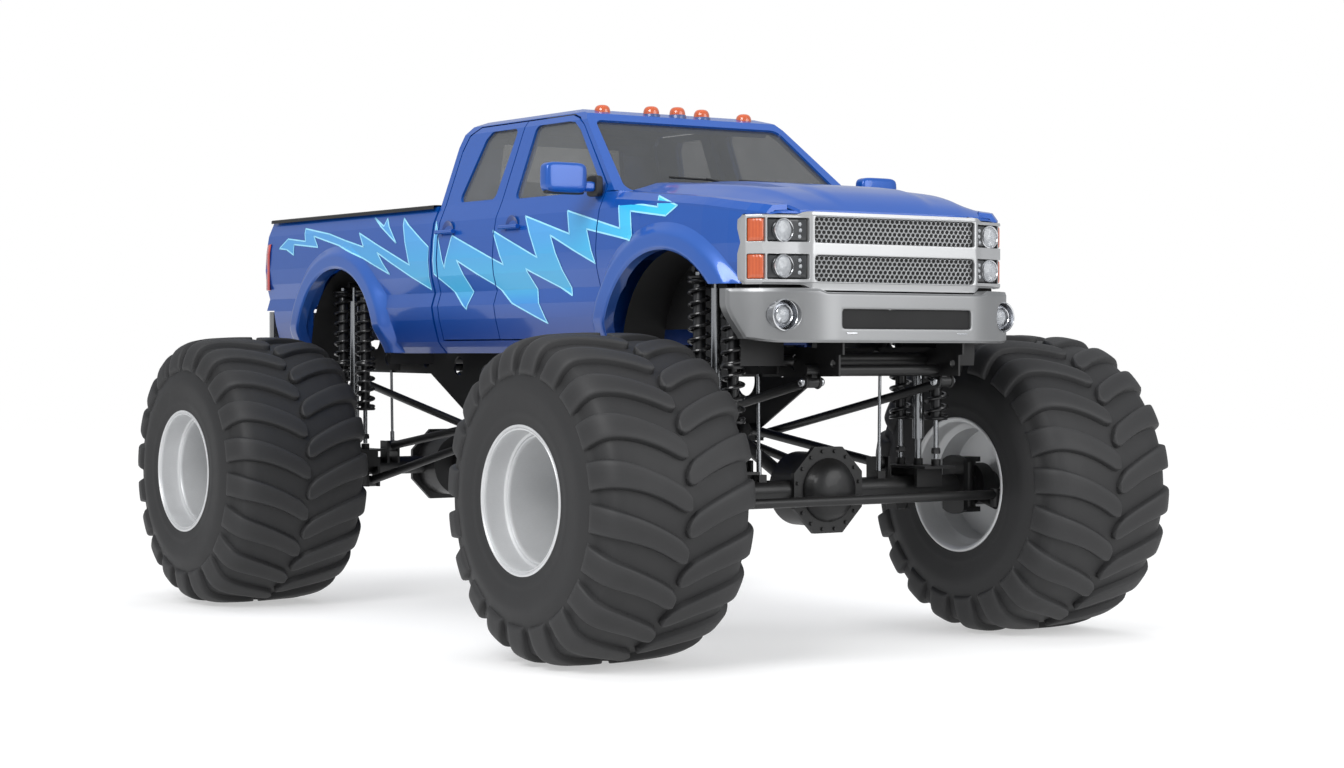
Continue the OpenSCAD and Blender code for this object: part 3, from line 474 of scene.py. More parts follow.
def tyre_parts(lugs, lug_height):
    """Carcass and lugs round the axle, at the origin.

    The carcass is the profile (y, r) turned about y, sunk by the lug height over the tread. A lug's
    middle line runs out from the crown: t = t0 + 0.225 (1 - (1 - a)^2.1), its half width is
    w sqrt(1 - (1 - a / nose)^2) at the rounded nose, and noses alternate from side to side.
    """
    half = eased(TYRE, 60, 3)
    half[0, 0] = 0
    half[:, 1] = np.minimum(half[:, 1], .8375)
    run = np.concatenate([[0], np.cumsum(np.linalg.norm(np.diff(half, axis=0), axis=1))])
    slope = np.gradient(half, axis=0)
    out = np.stack([-slope[:, 1], slope[:, 0]], axis=-1) / np.linalg.norm(slope, axis=1, keepdims=True)
    sunk = lug_height * (1 - smooth(run, .52, .68))
    ring = (.004 * np.exp(-((half[:, 1] - .645) / .006) ** 2)
            + .003 * np.exp(-((half[:, 1] - .43) / .008) ** 2))
    base = half - out * (sunk - ring)[:, None]
    whole = np.vstack([base[::-1] * [-1, 1], base[1:]])
    parts = [lathe(whole, around=144, loop=False)]
    a = np.concatenate([[0], .03 * np.sin(np.linspace(0, pi / 2, 7))[1:], np.linspace(.05, .93, 22),
                        [.955, .975, .985, 1.0]])
    high = np.concatenate([[.3, .75, .95], np.ones(len(a) - 6), [.9, .7, 0]])
    across = np.array([-1.13, -1.0, -.94, -.84, -.5, 0, .5, .84, .94, 1.0, 1.13])
    level = np.array([-.12, .62, .86, .97, 1.0, 1.0, 1.0, .97, .86, .62, -.12])
    for side, _ in SIDES:
        s = a * .605 - .012
        y = np.interp(np.abs(s), run, half[:, 0]) * np.sign(s)
        r = np.interp(np.abs(s), run, half[:, 1])
        oy, orr = np.interp(np.abs(s), run, out[:, 0]), np.interp(np.abs(s), run, out[:, 1])
        nose = np.sqrt(np.clip(1 - (1 - np.clip(s + .012, 0, .062) / .062) ** 2, 0, 1))
        width = (.060 + .010 * smooth(a, .2, .9)) * np.maximum(nose, .02)
        deep = (np.interp(np.abs(s), run, sunk) * .96
                + .012 * smooth(a, .75, .9) * (1 - smooth(a, .95, 1.0)))
        lift = (level[None] * high[:, None] - 1) * deep[:, None] - .0006
        for k in range(lugs):
            t0 = (k + (.5 if side < 0 else 0)) * tau / lugs
            middle = (t0 + .225 * (1 - (1 - a) ** 2.1))[:, None]
            t = middle + across[None] * (width / np.maximum(r, .1))[:, None]
            rr = r[:, None] + lift * orr[:, None]
            yy = side * (y[:, None] + lift * oy[:, None])
            parts.append(grid(np.stack([rr * np.cos(t), yy, rr * np.sin(t)], axis=-1)))
    return joined(*parts)


# the whole rim's outline, as (y, r), closed on itself
RIM = [(.452, .3788), (.461, .3785), (.4632, .3745), (.4625, .3690), (.458, .3655), (.4535, .3640),
       (.4535, .3605), (.4575, .3575), (.4570, .3530), (.450, .3500), (.440, .3487), (.345, .3465),
       (.338, .3440), (.3345, .3370), (.3365, .3300), (.3400, .3240), (.338, .3175), (.330, .3135),
       (.318, .3120), (.05, .3080), (-.170, .3075), (-.179, .3050), (-.183, .2990), (-.183, .240),
       (-.176, .232), (-.176, .150), (-.183, .142), (-.183, .0602), (-.199, .0602), (-.199, .300),
       (-.203, .3075), (-.30, .3078), (-.330, .312), (-.352, .338), (-.362, .3455), (-.445, .3475),
       (-.452, .352), (-.4575, .358), (-.4632, .366), (-.4625, .375), (-.458, .3785), (-.450, .3788),
       (-.437, .357), (-.355, .356), (-.31, .319), (.33, .327), (.35, .357), (.437, .357)]


def wheels(props):
    """Four tyres with staggered chevron lugs, and their deep stepped rims."""
    points, faces = tyre_parts(props.lugs, props.lug_height)
    for place, (x, y) in WHEELS.items():
        side = 1 if y > 0 else -1
        centre = np.array([x, y, AXLE_Z])
        turned = points * [1, side, 1] + centre
        piece(f"tread_{place}", turned, faces, "rubber", f"wheel_{place}", "tyre_rubber",
              (f"tyre_{place}",))
        parts = [lathe(RIM, centre, side=side)]
        for t in np.arange(10) * tau / 10:
            parts.append(bolt(centre + [.19 * cos(t), -.183 * side, .19 * sin(t)], "y", .014, .02, side))
        piece(f"rim_{place}_dish", *joined(*parts), "silver_rim", f"wheel_{place}", "rim_metal",
              (f"rim_{place}",))
        cap = [(-.160, .0001), (-.160, .045), (-.164, .055), (-.172, .059), (-.172, .0001)]
        piece(f"hub_cap_{place}", *lathe(cap, centre, side=side, around=48), "black_frame",
              f"wheel_{place}", "frame_black")


# ------------------------------------------------------------------ suspension
# the springs' places from the axle and the middle, and the low cross bar's
SPRING_DX, SPRING_Y = .150, .690
BAR_X, BAR_Z = 2.500, 1.422


def helix(x, y, low, high, radius, turns):
    """x + R cos t, y + R sin t, rising with t, and flat for the last half turn at each end."""
    t = np.linspace(0, turns * tau, int(turns * 20))
    rise = np.interp(t, [0, pi, (turns - .5) * tau, turns * tau], [0, .012, .988, 1])
    return np.stack([x + radius * np.cos(t), y + radius * np.sin(t), low + (high - low) * rise],
                    axis=-1)


def suspension(props):
    """Coil springs with their seats and rods, silver shock rods, and the nearby bolts and bushings."""
    springs, rods, bodies, nuts, hard, ends = [], [], [], [], [], []
    for e in (1, -1):
        for side, _ in SIDES:
            for dx in (-SPRING_DX, SPRING_DX):
                x, y = e * AXLE_X + dx, side * SPRING_Y
                foot = (x, y, 0)
                springs.append(tube(helix(x, y, 1.228, 1.955, .0545, 12), .0105, 8))
                springs.append(capped([(1.205, 1e-4), (1.205, .060), (1.210, .065), (1.218, .065),
                                       (1.222, .060), (1.222, 1e-4)], foot))
                springs.append(capped([(1.962, 1e-4), (1.962, .060), (1.967, .065), (1.975, .065),
                                       (1.980, .058), (1.980, 1e-4)], foot))
                springs.append(lathe([(1.49, .028), (1.49, .063), (1.497, .066), (1.507, .066),
                                      (1.514, .063), (1.514, .028)], foot, "z", around=32))
                bodies.append(capped([(1.222, 1e-4), (1.222, .030), (1.490, .031), (1.490, .034),
                                      (1.950, .034), (1.962, .030), (1.962, 1e-4)], foot, around=24))
                rods.append(tube([(x, y, .992), (x, y, 1.21)], .0138))
                rods.append(tube([(x, y, 1.975), (x, y, 1.9987)], .0235))
                nuts.append(capped([(1.02, 1e-4), (1.02, .024), (1.03, .026), (1.05, .024), (1.06, 1e-4)],
                                   foot, around=6))
    # differential covers: a dome on a plate ringed with bolts
    dome = [(0, .172), (.012, .170), (.022, .160), (.045, .150), (.070, .128), (.085, .098), (.092, .060),
            (.094, 1e-4), (-.02, 1e-4), (-.02, .172)]
    bush = [(-.004, 1e-4), (-.004, .034), (.003, .037), (.011, .034), (.011, 1e-4)]
    stud = [(-.008, 1e-4), (-.008, .018), (.006, .024), (.014, .022), (.022, .015), (.026, 1e-4)]
    for e in (1, -1):
        face = e * (AXLE_X + .075)
        hard.append(lathe(dome, (face, 0, AXLE_Z), "x", e, 48))
        for t in (np.arange(16) + .5) * tau / 16:
            hard.append(bolt((face - e * .002, .212 * cos(t), AXLE_Z + .212 * sin(t)), "x", .011, .012, e))
        # bushings and bolt ends of the low cross bar
        for side, _ in SIDES:
            for y in (.400, .486):
                hard.append(capped(bush, (e * BAR_X, side * y, BAR_Z), "y", side))
            for s, y in ((1, .4975), (-1, .3885)):
                ends.append(capped(stud, (e * BAR_X, side * y, BAR_Z), "y", side * s, 24))
    for name, parts, material, slot, replaces in (
            ("coil_springs", springs, "black_spring", "frame_black", ("coilovers",)),
            ("spring_bodies", bodies, "black_spring", "frame_black", ()),
            ("spring_rods", rods, "steel_bright", "damper_steel", ()),
            ("spring_nuts", nuts, "black_spring", "frame_black", ()),
            ("axle_fittings", hard, "black_frame", "frame_black", ()),
            ("bolt_ends", ends, "steel_bright", "damper_steel", ())):
        piece(name, *joined(*parts), material, "chassis", slot, replaces)


# ------------------------------------------------------------------ body
def half_width(x, z):
    """The body side's distance from the middle: HALF less the side's inset and the nose's."""
    return HALF - np.interp(z - SILL, SIDE[:, 0], SIDE[:, 1]) - np.interp(x, TAPER[:, 0], TAPER[:, 1])


def swelled(x, z):
    """The same side without its creases, drawn in only towards the sill: what the flares lie on."""
    return HALF - .002 - .085 * (1 - smooth(z - SILL, -.03, .19)) - np.interp(x, TAPER[:, 0], TAPER[:, 1])


def flare(side, arch, where):
    """A wheel-arch flare: rings round the arch, u from 0 at its lip to 1 at its outer edge.

    It stands 0.034 (1 - smooth(u, 0.5, 1)) off a side that goes from swelled() at the lip to
    half_width() at the edge. Its lip, u < 0, is turned in at the opening.
    """
    front = where == "front"
    t = np.radians(np.linspace(30 if front else -10, 192 if front else 190, 90))
    reach = .165 + .012 * np.cos(t * 2)
    u = np.concatenate([[-1, -.5], np.linspace(0, .12, 4), np.linspace(.2, 1, 14)])
    r = ARCH_R - .012 + reach[:, None] * np.clip(u, 0, 1)[None]
    x = arch + r * np.cos(t)[:, None]
    z = np.maximum(ARCH_Z + r * np.sin(t)[:, None], SILL + .004)
    if front:
        z = np.where(x > arch, np.maximum(z, SILL + .352), z)
    stand = .034 * (1 - smooth(u, .50, 1.0)) - .012 * (1 - smooth(u, 0, .10)) - .004 * smooth(u, .9, 1.0)
    hold = (1 - smooth(u, .55, 1.0))[None]
    y = half_width(x, z) * (1 - hold) + swelled(x, z) * hold + stand[None]
    y = np.where(u[None] < 0, swelled(x, z) + .02 - .055 * np.clip(-u, 0, 1)[None], y)
    x = np.clip(x, *((1.2100, 2.440) if front else (-2.842, -.632)))
    name = "left" if side > 0 else "right"
    # the flares wear a lighter copy of the body paint: painted light
    piece(f"flare_{where}_{name}", *grid(np.stack([x, side * y, z], axis=-1)), "paint_flare", "chassis",
          "body_paint")


HOOD_ACROSS = [(0, 1), (.4, .99), (.60, .955), (.66, .935), (.79, .84), (.88, .45), (1, 0)]
HOOD_ALONG = np.array([[1345, 882, 938], [1550, 862, 930], [1800, 842, 918], [2100, 816, 893],
                       [2300, 792, 868], [2440, 775, 830], [2540, 762, 780], [2608, 722, 726]]) / 1000


def hood(props):
    """The hood: z = edge + (middle - edge) c(v), raised in the middle with a soft shoulder each side.

    c falls from 1 at the middle to 0 at the edge, and eased() rounds both tables.
    """
    along = eased(HOOD_ALONG, 60, 3)
    along[0], along[-1] = HOOD_ALONG[0], HOOD_ALONG[-1]
    across = eased(HOOD_ACROSS, 40, 2)
    across[0], across[-1] = (0, 1), (1, 0)
    x = along[:, 0]
    edge = .765 - np.interp(x, TAPER[:, 0], TAPER[:, 1])
    edge = np.where(x > 2.535, np.minimum(edge, .765 - np.interp(2.535, TAPER[:, 0], TAPER[:, 1])), edge)
    v = np.concatenate([-across[:0:-1, 0], across[:, 0]])
    c = np.concatenate([across[:0:-1, 1], across[:, 1]])
    y = edge[:, None] * v[None]
    z = SILL + along[:, 1][:, None] + (along[:, 2] - along[:, 1])[:, None] * c[None]
    raised = .012 * (1 - smooth(np.abs(v), .44, .52)) - .006
    z = z + raised[None] * (smooth(x, 1.36, 1.60) * (1 - smooth(x, 2.45, 2.60)))[:, None]
    top = np.stack([x[:, None] + 0 * y, y, z], axis=-1)
    under = top - [0, 0, .016]
    rim = border(top)
    edges = np.stack([rim, rim - [0, 0, .018]], axis=1)
    parts = [grid(top), grid(under * [1, .997, 1]), grid(edges, wrap_rows=True)]
    # hinge barrels and their straps
    for s, _ in SIDES:
        low, high = sorted((s * .25, s * .35))
        parts.append(tube([(1.331, s * .25, 2.4413), (1.331, s * .35, 2.4413)], .005))
        parts.append(box((1.331, low, 2.437), (1.367, high, SILL + .915), .001))
    piece("hood_skin", *joined(*parts), "paint_blue", "hood", "body_paint", ("hood",), smooth=32)


# the flash's outlines on the body side, (x, z): the bed's, its small spark, and the cab's
FLASH_BED = [(-2.66, 2.27), (-2.55, 2.33), (-2.29, 2.305), (-2.33, 2.39), (-2.18, 2.37), (-1.96, 2.34),
             (-1.73, 2.29), (-1.47, 2.24), (-1.55, 2.33), (-.87, 2.11), (-1.01, 2.40), (-.64, 2.21),
             (-.64, 1.955), (-1.29, 2.20), (-1.13, 2.06), (-1.47, 2.17), (-1.80, 2.26), (-2.18, 2.335),
             (-2.10, 2.26), (-2.45, 2.29), (-2.44, 2.22), (-2.55, 2.26)]
STRIPE = .0045
FLASH_SMALL = [(-1.40, 2.42), (-1.24, 2.36), (-1.23, 2.41), (-1.05, 2.25)]
FLASH_CAB = [(-.58, 2.36), (-.45, 2.08), (-.37, 2.27), (.23, 2.08), (.10, 2.28), (.60, 2.11), (.44, 2.35),
             (.93, 2.23), (.88, 2.36), (1.43, 2.24), (1.38, 2.39), (1.76, 2.34), (1.74, 2.40),
             (1.93, 2.34), (1.84, 2.29), (1.51, 2.33), (1.56, 2.17), (1.10, 2.25), (1.19, 2.06),
             (.73, 2.23), (.94, 1.89), (.47, 2.05), (.56, 1.93), (.67, 1.74), (.31, 1.86), (.10, 1.97),
             (-.30, 2.12), (-.15, 1.93), (-.20, 1.83), (-.41, 1.96), (-.58, 2.05)]


def cut(bm, at, normal, clear=False):
    """Cuts a whole bmesh by a plane, and drops what lies behind it if asked."""
    bmesh.ops.bisect_plane(bm, geom=bm.verts[:] + bm.edges[:] + bm.faces[:], plane_co=at,
                           plane_no=normal, clear_inner=clear)


def decal_part(name, points, span, side, body):
    """Vinyl on a body side: an outline's fill, and the pinstripe along it, between two values of x.

    Both are cut at the side's creases and laid just off the side, over the flares where there are any.
    """
    for kind, material, lift in (("fill", "flash_cyan", .0016), ("line", "flash_outline", .0021)):
        bm = bmesh.new()
        if kind == "fill":
            ring = [bm.verts.new((p[0], 0, p[1])) for p in points]
            ends = [bm.edges.new((a, b)) for a, b in zip(ring, ring[1:] + ring[:1])]
            bmesh.ops.triangle_fill(bm, use_beauty=True, edges=ends)
        else:
            for a, b in zip(points, points[1:] + points[:1]):
                run = (b - a) / (np.linalg.norm(b - a) + 1e-9)
                n = np.array([-run[1], run[0]]) * STRIPE
                e = run * STRIPE * .8
                corners = [a - e + n, b + e + n, b + e - n, a - e - n]
                bm.faces.new([bm.verts.new((c[0], 0, c[1])) for c in corners])
        for x, keep in zip(span, (1, -1)):
            cut(bm, (x, 0, 0), (keep, 0, 0), True)
        for z in sorted(set(np.round(SILL + SIDE[:, 0], 4)) | {1.70, 1.90, 2.10, 2.20, 2.30}):
            cut(bm, (0, 0, z), (0, 0, 1))
        for x in np.arange(-2.7, 2.5, .1):
            cut(bm, (x, 0, 0), (1, 0, 0))
        for v in bm.verts:
            x, _, z = v.co
            v.co.y = side * (half_width(x, z) + lift + flare_height(x, z))
        bmesh.ops.recalc_face_normals(bm, faces=bm.faces)
        for f in bm.faces:
            if f.normal.y * side < 0:
                f.normal_flip()
        mesh = bpy.data.meshes.new(name)
        bm.to_mesh(mesh)
        bm.free()
        mesh.materials.append(MATERIALS[material])
        placed(bpy.data.objects.new(f"{name}_{kind}", mesh), body)


def flare_height(x, z):
    """How far a flare stands off the side at (x, z), as in flare(), or 0 away from the arches."""
    out = 0.0
    for arch in (ARCH_X, -ARCH_X):
        r = np.hypot(x - arch, z - ARCH_Z)
        t = np.arctan2(z - ARCH_Z, x - arch)
        u = (r - ARCH_R + .012) / (.165 + .012 * np.cos(2 * t))
        if 0 < u < 1:
            hold = 1 - smooth(u, .55, 1.0)
            out = float(max(out, .034 * (1 - smooth(u, .50, 1.0)) - .004 * smooth(u, .9, 1.0)
                            + (swelled(x, z) - half_width(x, z)) * hold))
    return out


def flash(props):
    """The generic two-tone flash down both sides, in one part for each panel it crosses."""
    for side, name in SIDES:
        for part, points, span, body in (
                ("bed", FLASH_BED, (-2.80, -.640), "chassis"),
                ("bed_spark", FLASH_SMALL, (-2.80, -.640), "chassis"),
                ("rear_door", FLASH_CAB, (-.532, .1055), f"rear_door_{name}"),
                ("front_door", FLASH_CAB, (.1155, 1.196), f"front_door_{name}"),
                ("fender", FLASH_CAB, (1.206, 2.000), "chassis"),
                ("cab_corner", FLASH_CAB, (-.592, -.546), "chassis")):
            decal_part(f"flash_{part}_{name}", [np.array(p) for p in points], span, side, body)


# ------------------------------------------------------------------ nose
def nose_x(y, rows):
    """The nose's x at distance |y| from the middle, from its plan."""
    rows = np.array(rows) / 1000
    return np.interp(np.abs(y), rows[:, 0], rows[:, 1])


# half the nose's and the bumper's plan, as (y, x) in millimetres
NOSE = [(0, 2652), (548, 2650), (600, 2618), (700, 2590), (800, 2556), (847, 2475), (853, 2446)]
BUMPER = [(0, 2742), (500, 2740), (600, 2716), (730, 2660), (850, 2560), (915, 2450), (930, 2365)]

# heights above the sill of the grille's and the lamps' two rows, and the fog lamps' places
GRILLE_ROWS = ((.361, .495), (.558, .690))
LAMP_ROWS = ((.372, .499), (.561, .681))
FOG_Y, FOG_Z, FOG_R = .729, SILL + .191, .0755


def mesh_screen(props):
    """Two panels of pressed mesh: a plate of hexagonal cells with rounded holes.

    Each cell's hole is an oval ring of 18 points, drawn out to the edge of its hexagon.
    """
    pitch = .031
    t = np.linspace(0, tau, 18, endpoint=False)
    hole = np.stack([np.cos(t) * .0125, np.sin(t) * .0098], axis=-1)
    edge = pitch * .5 / np.maximum(np.abs(np.cos((t + pi / 6) % (pi / 3) - pi / 6)), .5)
    rim = np.stack([np.cos(t) * edge * 1.06, np.sin(t) * edge * 1.06 * .80], axis=-1)
    rows = []
    for low, high in GRILLE_ROWS:
        ys = np.arange(-.53, .53, pitch)
        zs = np.arange(SILL + low + .010, SILL + high - .008, pitch * .70)
        for k, z in enumerate(zs):
            for y in ys + (pitch / 2 if k % 2 else 0):
                if abs(y) < .521:
                    rows.append((y, z))
    centres = np.array(rows)
    layers = []
    for ring, x in ((rim, 2.6355), (hole * 1.12, 2.6368), (hole, 2.6350), (hole, 2.6318)):
        yz = centres[:, None] + ring[None]
        layers.append(np.concatenate([np.full(yz.shape[:2] + (1,), x), yz], axis=-1))
    points = np.stack(layers, axis=1)
    n, m, c = points.shape[:3]
    faces = quads(m, c, wrap_columns=True)
    faces = (faces[None] + (np.arange(n) * m * c)[:, None, None]).reshape(-1, 4)
    piece("screen_web", points.reshape(-1, 3), faces, "silver_web", "chassis", "silver_trim",
          outward=False)


# lamp outlines, as (x, r) from the lamp's middle
LAMP_RING = [(-.012, .052), (.004, .0515), (.010, .0535), (.012, .0565), (.009, .0600),
             (-.004, .0610), (-.012, .0600)]
LAMP_BOWL = [(-.016, .050), (-.020, .030), (-.020, 1e-4)]
LAMP_DOME = [(.004, .0515), (.009, .042), (.012, .024), (.013, 1e-4)]
LAMP_BULB = [(-.010, .016), (-.004, .015), (.002, .010), (.004, 1e-4)]
LAMP_FACET = [(0, .012), (.004, .010), (.006, .004), (.006, 1e-4)]
FOG_BEZEL = [(-.060, .0745), (-.004, .0745), (.006, .0735), (.010, .0770), (.006, .0815),
             (-.004, .0800), (-.02, .0760)]
FOG_RING = [(-.010, .050), (-.002, .047), (.002, .0500), (-.004, .0560), (-.040, .0740)]
FOG_BOWL = [(-.050, .0740), (-.055, .03), (-.055, 1e-4)]
FOG_GLASS = [(-.020, .0465), (-.012, .040), (-.004, .022), (-.002, 1e-4)]


def lamp_face(side, y0, y1, z0, z1, back):
    """A lamp's face, set back from the nose, and sunk by 8 mm more at its rim."""
    ys = np.linspace(y0, y1, 24)
    zs = np.concatenate([[z0], np.linspace(z0 + .006, z1 - .006, 8), [z1]])
    yy, zz = np.meshgrid(ys, zs, indexing="ij")
    inward = np.minimum(np.minimum(yy - y0, y1 - yy), np.minimum(zz - z0, z1 - zz))
    xx = nose_x(yy, NOSE) - .004 - back - .008 * (1 - smooth(inward, 0, .008))
    return grid(np.stack([xx, side * yy, zz], axis=-1))


def lamp_divider(side, z0, z1):
    """The bright bar between a lamp and its amber corner."""
    ys = np.array([.774, .776, .780, .782])
    xs = nose_x(ys, NOSE)[:, None] + np.array([-.02, -.002, -.001, -.002, -.02])[None]
    zs = np.array([[z0, z0, (z0 + z1) / 2, z1, z1]])
    return grid(np.stack([xs, np.repeat(side * ys[:, None], 5, 1), np.repeat(zs, 4, 0)], axis=-1))


def lamps(props):
    """Head, side and fog lamps: dark housings with ringed clear lamps, amber corners and dividers."""
    dark, clear, ring, amber, dividers = [], [], [], [], []
    for side, _ in SIDES:
        for (low, high), z in zip(LAMP_ROWS, (2.009, 2.191)):
            z0, z1 = SILL + low + .003, SILL + high - .003
            dark.append(lamp_face(side, .567, .772, z0, z1, .006))
            amber.append(lamp_face(side, .784, .836, z0, z1, .002))
            dividers.append(lamp_divider(side, z0, z1))
            x, y = nose_x(.690, NOSE) - .006, side * .690
            # a silver ring, a ribbed bowl, and a domed glass over a small one
            ring.append(lathe(LAMP_RING, (x, y, z), "x", around=48))
            for t in np.arange(18) * tau / 18:
                c, s = cos(t), sin(t)
                ring.append(tube([(x - .004, y + .048 * c, z + .048 * s),
                                  (x - .012, y + .020 * c, z + .020 * s)], .0035, 6))
            ring.append(capped(LAMP_BOWL, (x, y, z), "x"))
            clear.append(capped(LAMP_DOME, (x, y, z), "x", around=40))
            clear.append(capped(LAMP_BULB, (x, y, z), "x", around=24))
            # three small facets inboard
            for dy, dz in ((-.088, .030), (-.092, .000), (-.086, -.032)):
                at = (x + .022, side * (.690 + dy), z + dz)
                clear.append(capped(LAMP_FACET, at, "x", around=5))
        fog = np.array([2.648, side * FOG_Y, FOG_Z])
        ring.append(lathe(FOG_BEZEL, fog + [.004, 0, 0], "x", around=56))
        ring.append(capped(FOG_RING, fog, "x", around=48))
        ring.append(capped(FOG_BOWL, fog, "x", around=40))
        clear.append(capped(FOG_GLASS, fog, "x", around=40))
    piece("lamp_housings", *joined(*dark), "lamp_dark", "chassis", "lamp_clear", ("headlamps",))
    piece("lamp_ambers", *joined(*amber), "lamp_amber", "chassis", "lamp_amber")
    piece("lamp_dividers", *joined(*dividers), "satin_silver", "chassis", "silver_trim")
    piece("lamp_rings", *joined(*ring), "chrome_ring", "chassis", "silver_trim", ("fog_lamps",))
    piece("lamp_glasses", *joined(*clear), "lamp_clear", "chassis", "lamp_clear")


def pressing(plan, across, low, high, ends, openings, depth, roll):
    """A pressed skin on a plan, with rolled edges, and openings turned back to a depth.

    Base points (y, z) fill a rectangle; outside the openings they are drawn out to ends(z), low[1](y)
    and high[1](y). Round each opening, rings run from a margin's rectangle to the opening's own outline.
    """
    edge_y = max(abs(np.array(o[0])).max() + o[2] for o in openings)
    edge_low = min(o[1][0] - o[2] for o in openings)
    edge_high = max(o[1][1] + o[2] for o in openings)

    def skin(p, back):
        y, z = p[..., 0], p[..., 1]
        d = np.minimum(np.minimum(across - np.abs(y), z - low[0]), high[0] - z)
        out = np.clip((np.abs(y) - edge_y) / (across - edge_y), 0, 1)
        down = np.clip((edge_low - z) / (edge_low - low[0]), 0, 1)
        up = np.clip((z - edge_high) / (high[0] - edge_high), 0, 1)
        y1 = y + np.sign(y) * (ends(z) - across) * out
        z1 = z + (low[1](y) - low[0]) * down + (high[1](y) - high[0]) * up
        x = plan(y1) - back - roll * (1 - smooth(d, 0, roll * 1.5))
        return np.stack([x, y1, z1], axis=-1)

    turn = np.array([0, .15, .35, .6, .8, 1, 1.3, 1.6]) * roll
    ys = np.concatenate([np.linspace(-across, across, 97), across - turn, turn - across])
    zs = np.concatenate([np.linspace(low[0], high[0], 15), low[0] + turn, high[0] - turn])
    for (y0, y1), (z0, z1), margin, _ in openings:
        ys, zs = np.append(ys, [y0 - margin, y1 + margin]), np.append(zs, [z0 - margin, z1 + margin])
    ys, zs = np.unique(np.round(ys, 5)), np.unique(np.round(zs, 5))
    yy, zz = np.meshgrid(ys, zs, indexing="ij")
    flat = np.stack([yy, zz], axis=-1)
    points, faces = grid(skin(flat, 0))
    middle = flat.reshape(-1, 2)[faces].mean(axis=1)
    steps = ((0, 0), (.5, 0), (.8, .0008), (.93, .002), (1, .0042), (1, depth * .6), (1, depth))
    rows = []
    for (y0, y1), (z0, z1), margin, radius in openings:
        centre, half = np.array([y0 + y1, z0 + z1]) / 2, np.array([y1 - y0, z1 - z0]) / 2
        inside = (np.abs(middle - centre) < half + margin).all(axis=1)
        faces, middle = faces[~inside], middle[~inside]
        outline = rounded((y0, z0), (y1, z1), radius, 8) - centre
        outline = np.vstack([outline, outline[:1]])
        along = np.concatenate([[0], np.cumsum(np.hypot(*np.diff(outline, axis=0).T))])
        s = np.unique(np.concatenate([np.linspace(0, along[-1], 1200), along]))
        fine = np.stack([np.interp(s, along, outline[:, k]) for k in (0, 1)], axis=-1)
        t = np.unwrap(np.arctan2(fine[:, 1], fine[:, 0]))
        reach = half + margin
        corner = np.arctan2(reach[1], reach[0])
        run = np.linspace(0, along[-1], 120)[:-1]
        want = np.interp(run, s, t)
        extra = np.array([corner, pi - corner, pi + corner, tau - corner])
        want = np.unique(np.concatenate([want, t[0] + (extra - t[0]) % tau]))
        inner = np.stack([np.interp(want, t, fine[:, k]) for k in (0, 1)], axis=-1)
        outer = inner * np.min(reach / (np.abs(inner) + 1e-9), axis=1, keepdims=True)
        rings = [skin(centre + outer + (inner - outer) * k, b) for k, b in steps]
        rows.append(grid(np.stack(rings, axis=0), wrap_columns=True))
    rim = border(flat.transpose(1, 0, 2))
    rows.append(grid(np.stack([skin(rim, b) for b in (0, .004, depth)], axis=0), wrap_columns=True))
    return joined((points, faces), *rows)


def surround():
    """The grille's surround, with two openings for the mesh and four on each side for the lamps."""
    openings = [((-.535, .535), (SILL + a, SILL + b), .008, r)
                for (a, b), r in zip(GRILLE_ROWS, (.022, .006))]
    for a, b in LAMP_ROWS:
        for y0, y1 in ((.563, .774), (.782, .842)):
            for span in ((y0, y1), (-y1, -y0)):
                openings.append((span, (SILL + a, SILL + b), .0038, .006))

    def plan(y):
        return nose_x(y, NOSE)

    def foot(y):
        return SILL + .318 + .028 * smooth(np.abs(y), .53, .60)

    def top(y):
        return SILL + .714 - .017 * smooth(np.abs(y), .575, .625)

    def ends(z):
        h = z - SILL
        return .852 - .010 * (1 - smooth(h, .34, .38)) - .008 * smooth(h, .67, .70)

    skin = pressing(plan, .853, (SILL + .348, foot), (SILL + .700, top), ends, openings, .03, .006)
    piece("surround_skin", *skin, "satin_silver", "chassis", "silver_trim", ("grille_surround",),
          smooth=30)


def bumper():
    """The bumper, with its slot, its fog lamps' openings and a shelf behind its top edge."""
    def plan(y):
        return np.mean([nose_x(np.abs(y) + k, BUMPER) for k in np.linspace(-.05, .05, 11)], axis=0)

    def foot(y):
        return SILL + .052 + .020 * smooth(np.abs(y), .72, .92)

    def top(y):
        return SILL + .306 + .020 * smooth(np.abs(y), .515, .565)

    def ends(z):
        return .925 - .050 * (1 - smooth(z - SILL, .04, .26))

    openings = [((-.430, .430), (SILL + .122, SILL + .222), .012, .014)]
    for s, _ in SIDES:
        openings.append(((s * FOG_Y - FOG_R, s * FOG_Y + FOG_R), (FOG_Z - FOG_R, FOG_Z + FOG_R),
                         .012, FOG_R))
    skin = pressing(plan, .925, (SILL + .052, foot), (SILL + .306, top), ends, openings, .05, .008)
    y = np.linspace(-.9, .9, 121)
    level = top(y) - .0005
    shelf = np.stack([np.stack([plan(y) - b, y, level + c], axis=-1)
                      for b, c in ((.010, -.001), (.014, 0), (.09, .001))], axis=1)
    piece("bumper_skin", *joined(skin, grid(shelf)), "bumper_silver", "chassis", "bumper_chrome",
          ("front_bumper",), smooth=30)


def brow(side, name):
    """The painted strip that closes the hood's front corner above the lamps."""
    y = np.linspace(.52, .836, 40)
    lid = SILL + .716 - .016 * smooth(y, .70, .82)
    x = nose_x(y, NOSE)
    steps = ((.16, -.034), (.06, -.012), (.03, -.002), (.016, .003), (.014, .012))
    rows = [np.stack([x - b, side * y, lid - c], axis=-1) for b, c in steps]
    piece(f"brow_{name}", *grid(np.stack(rows, axis=1)), "paint_blue", "chassis", "body_paint")


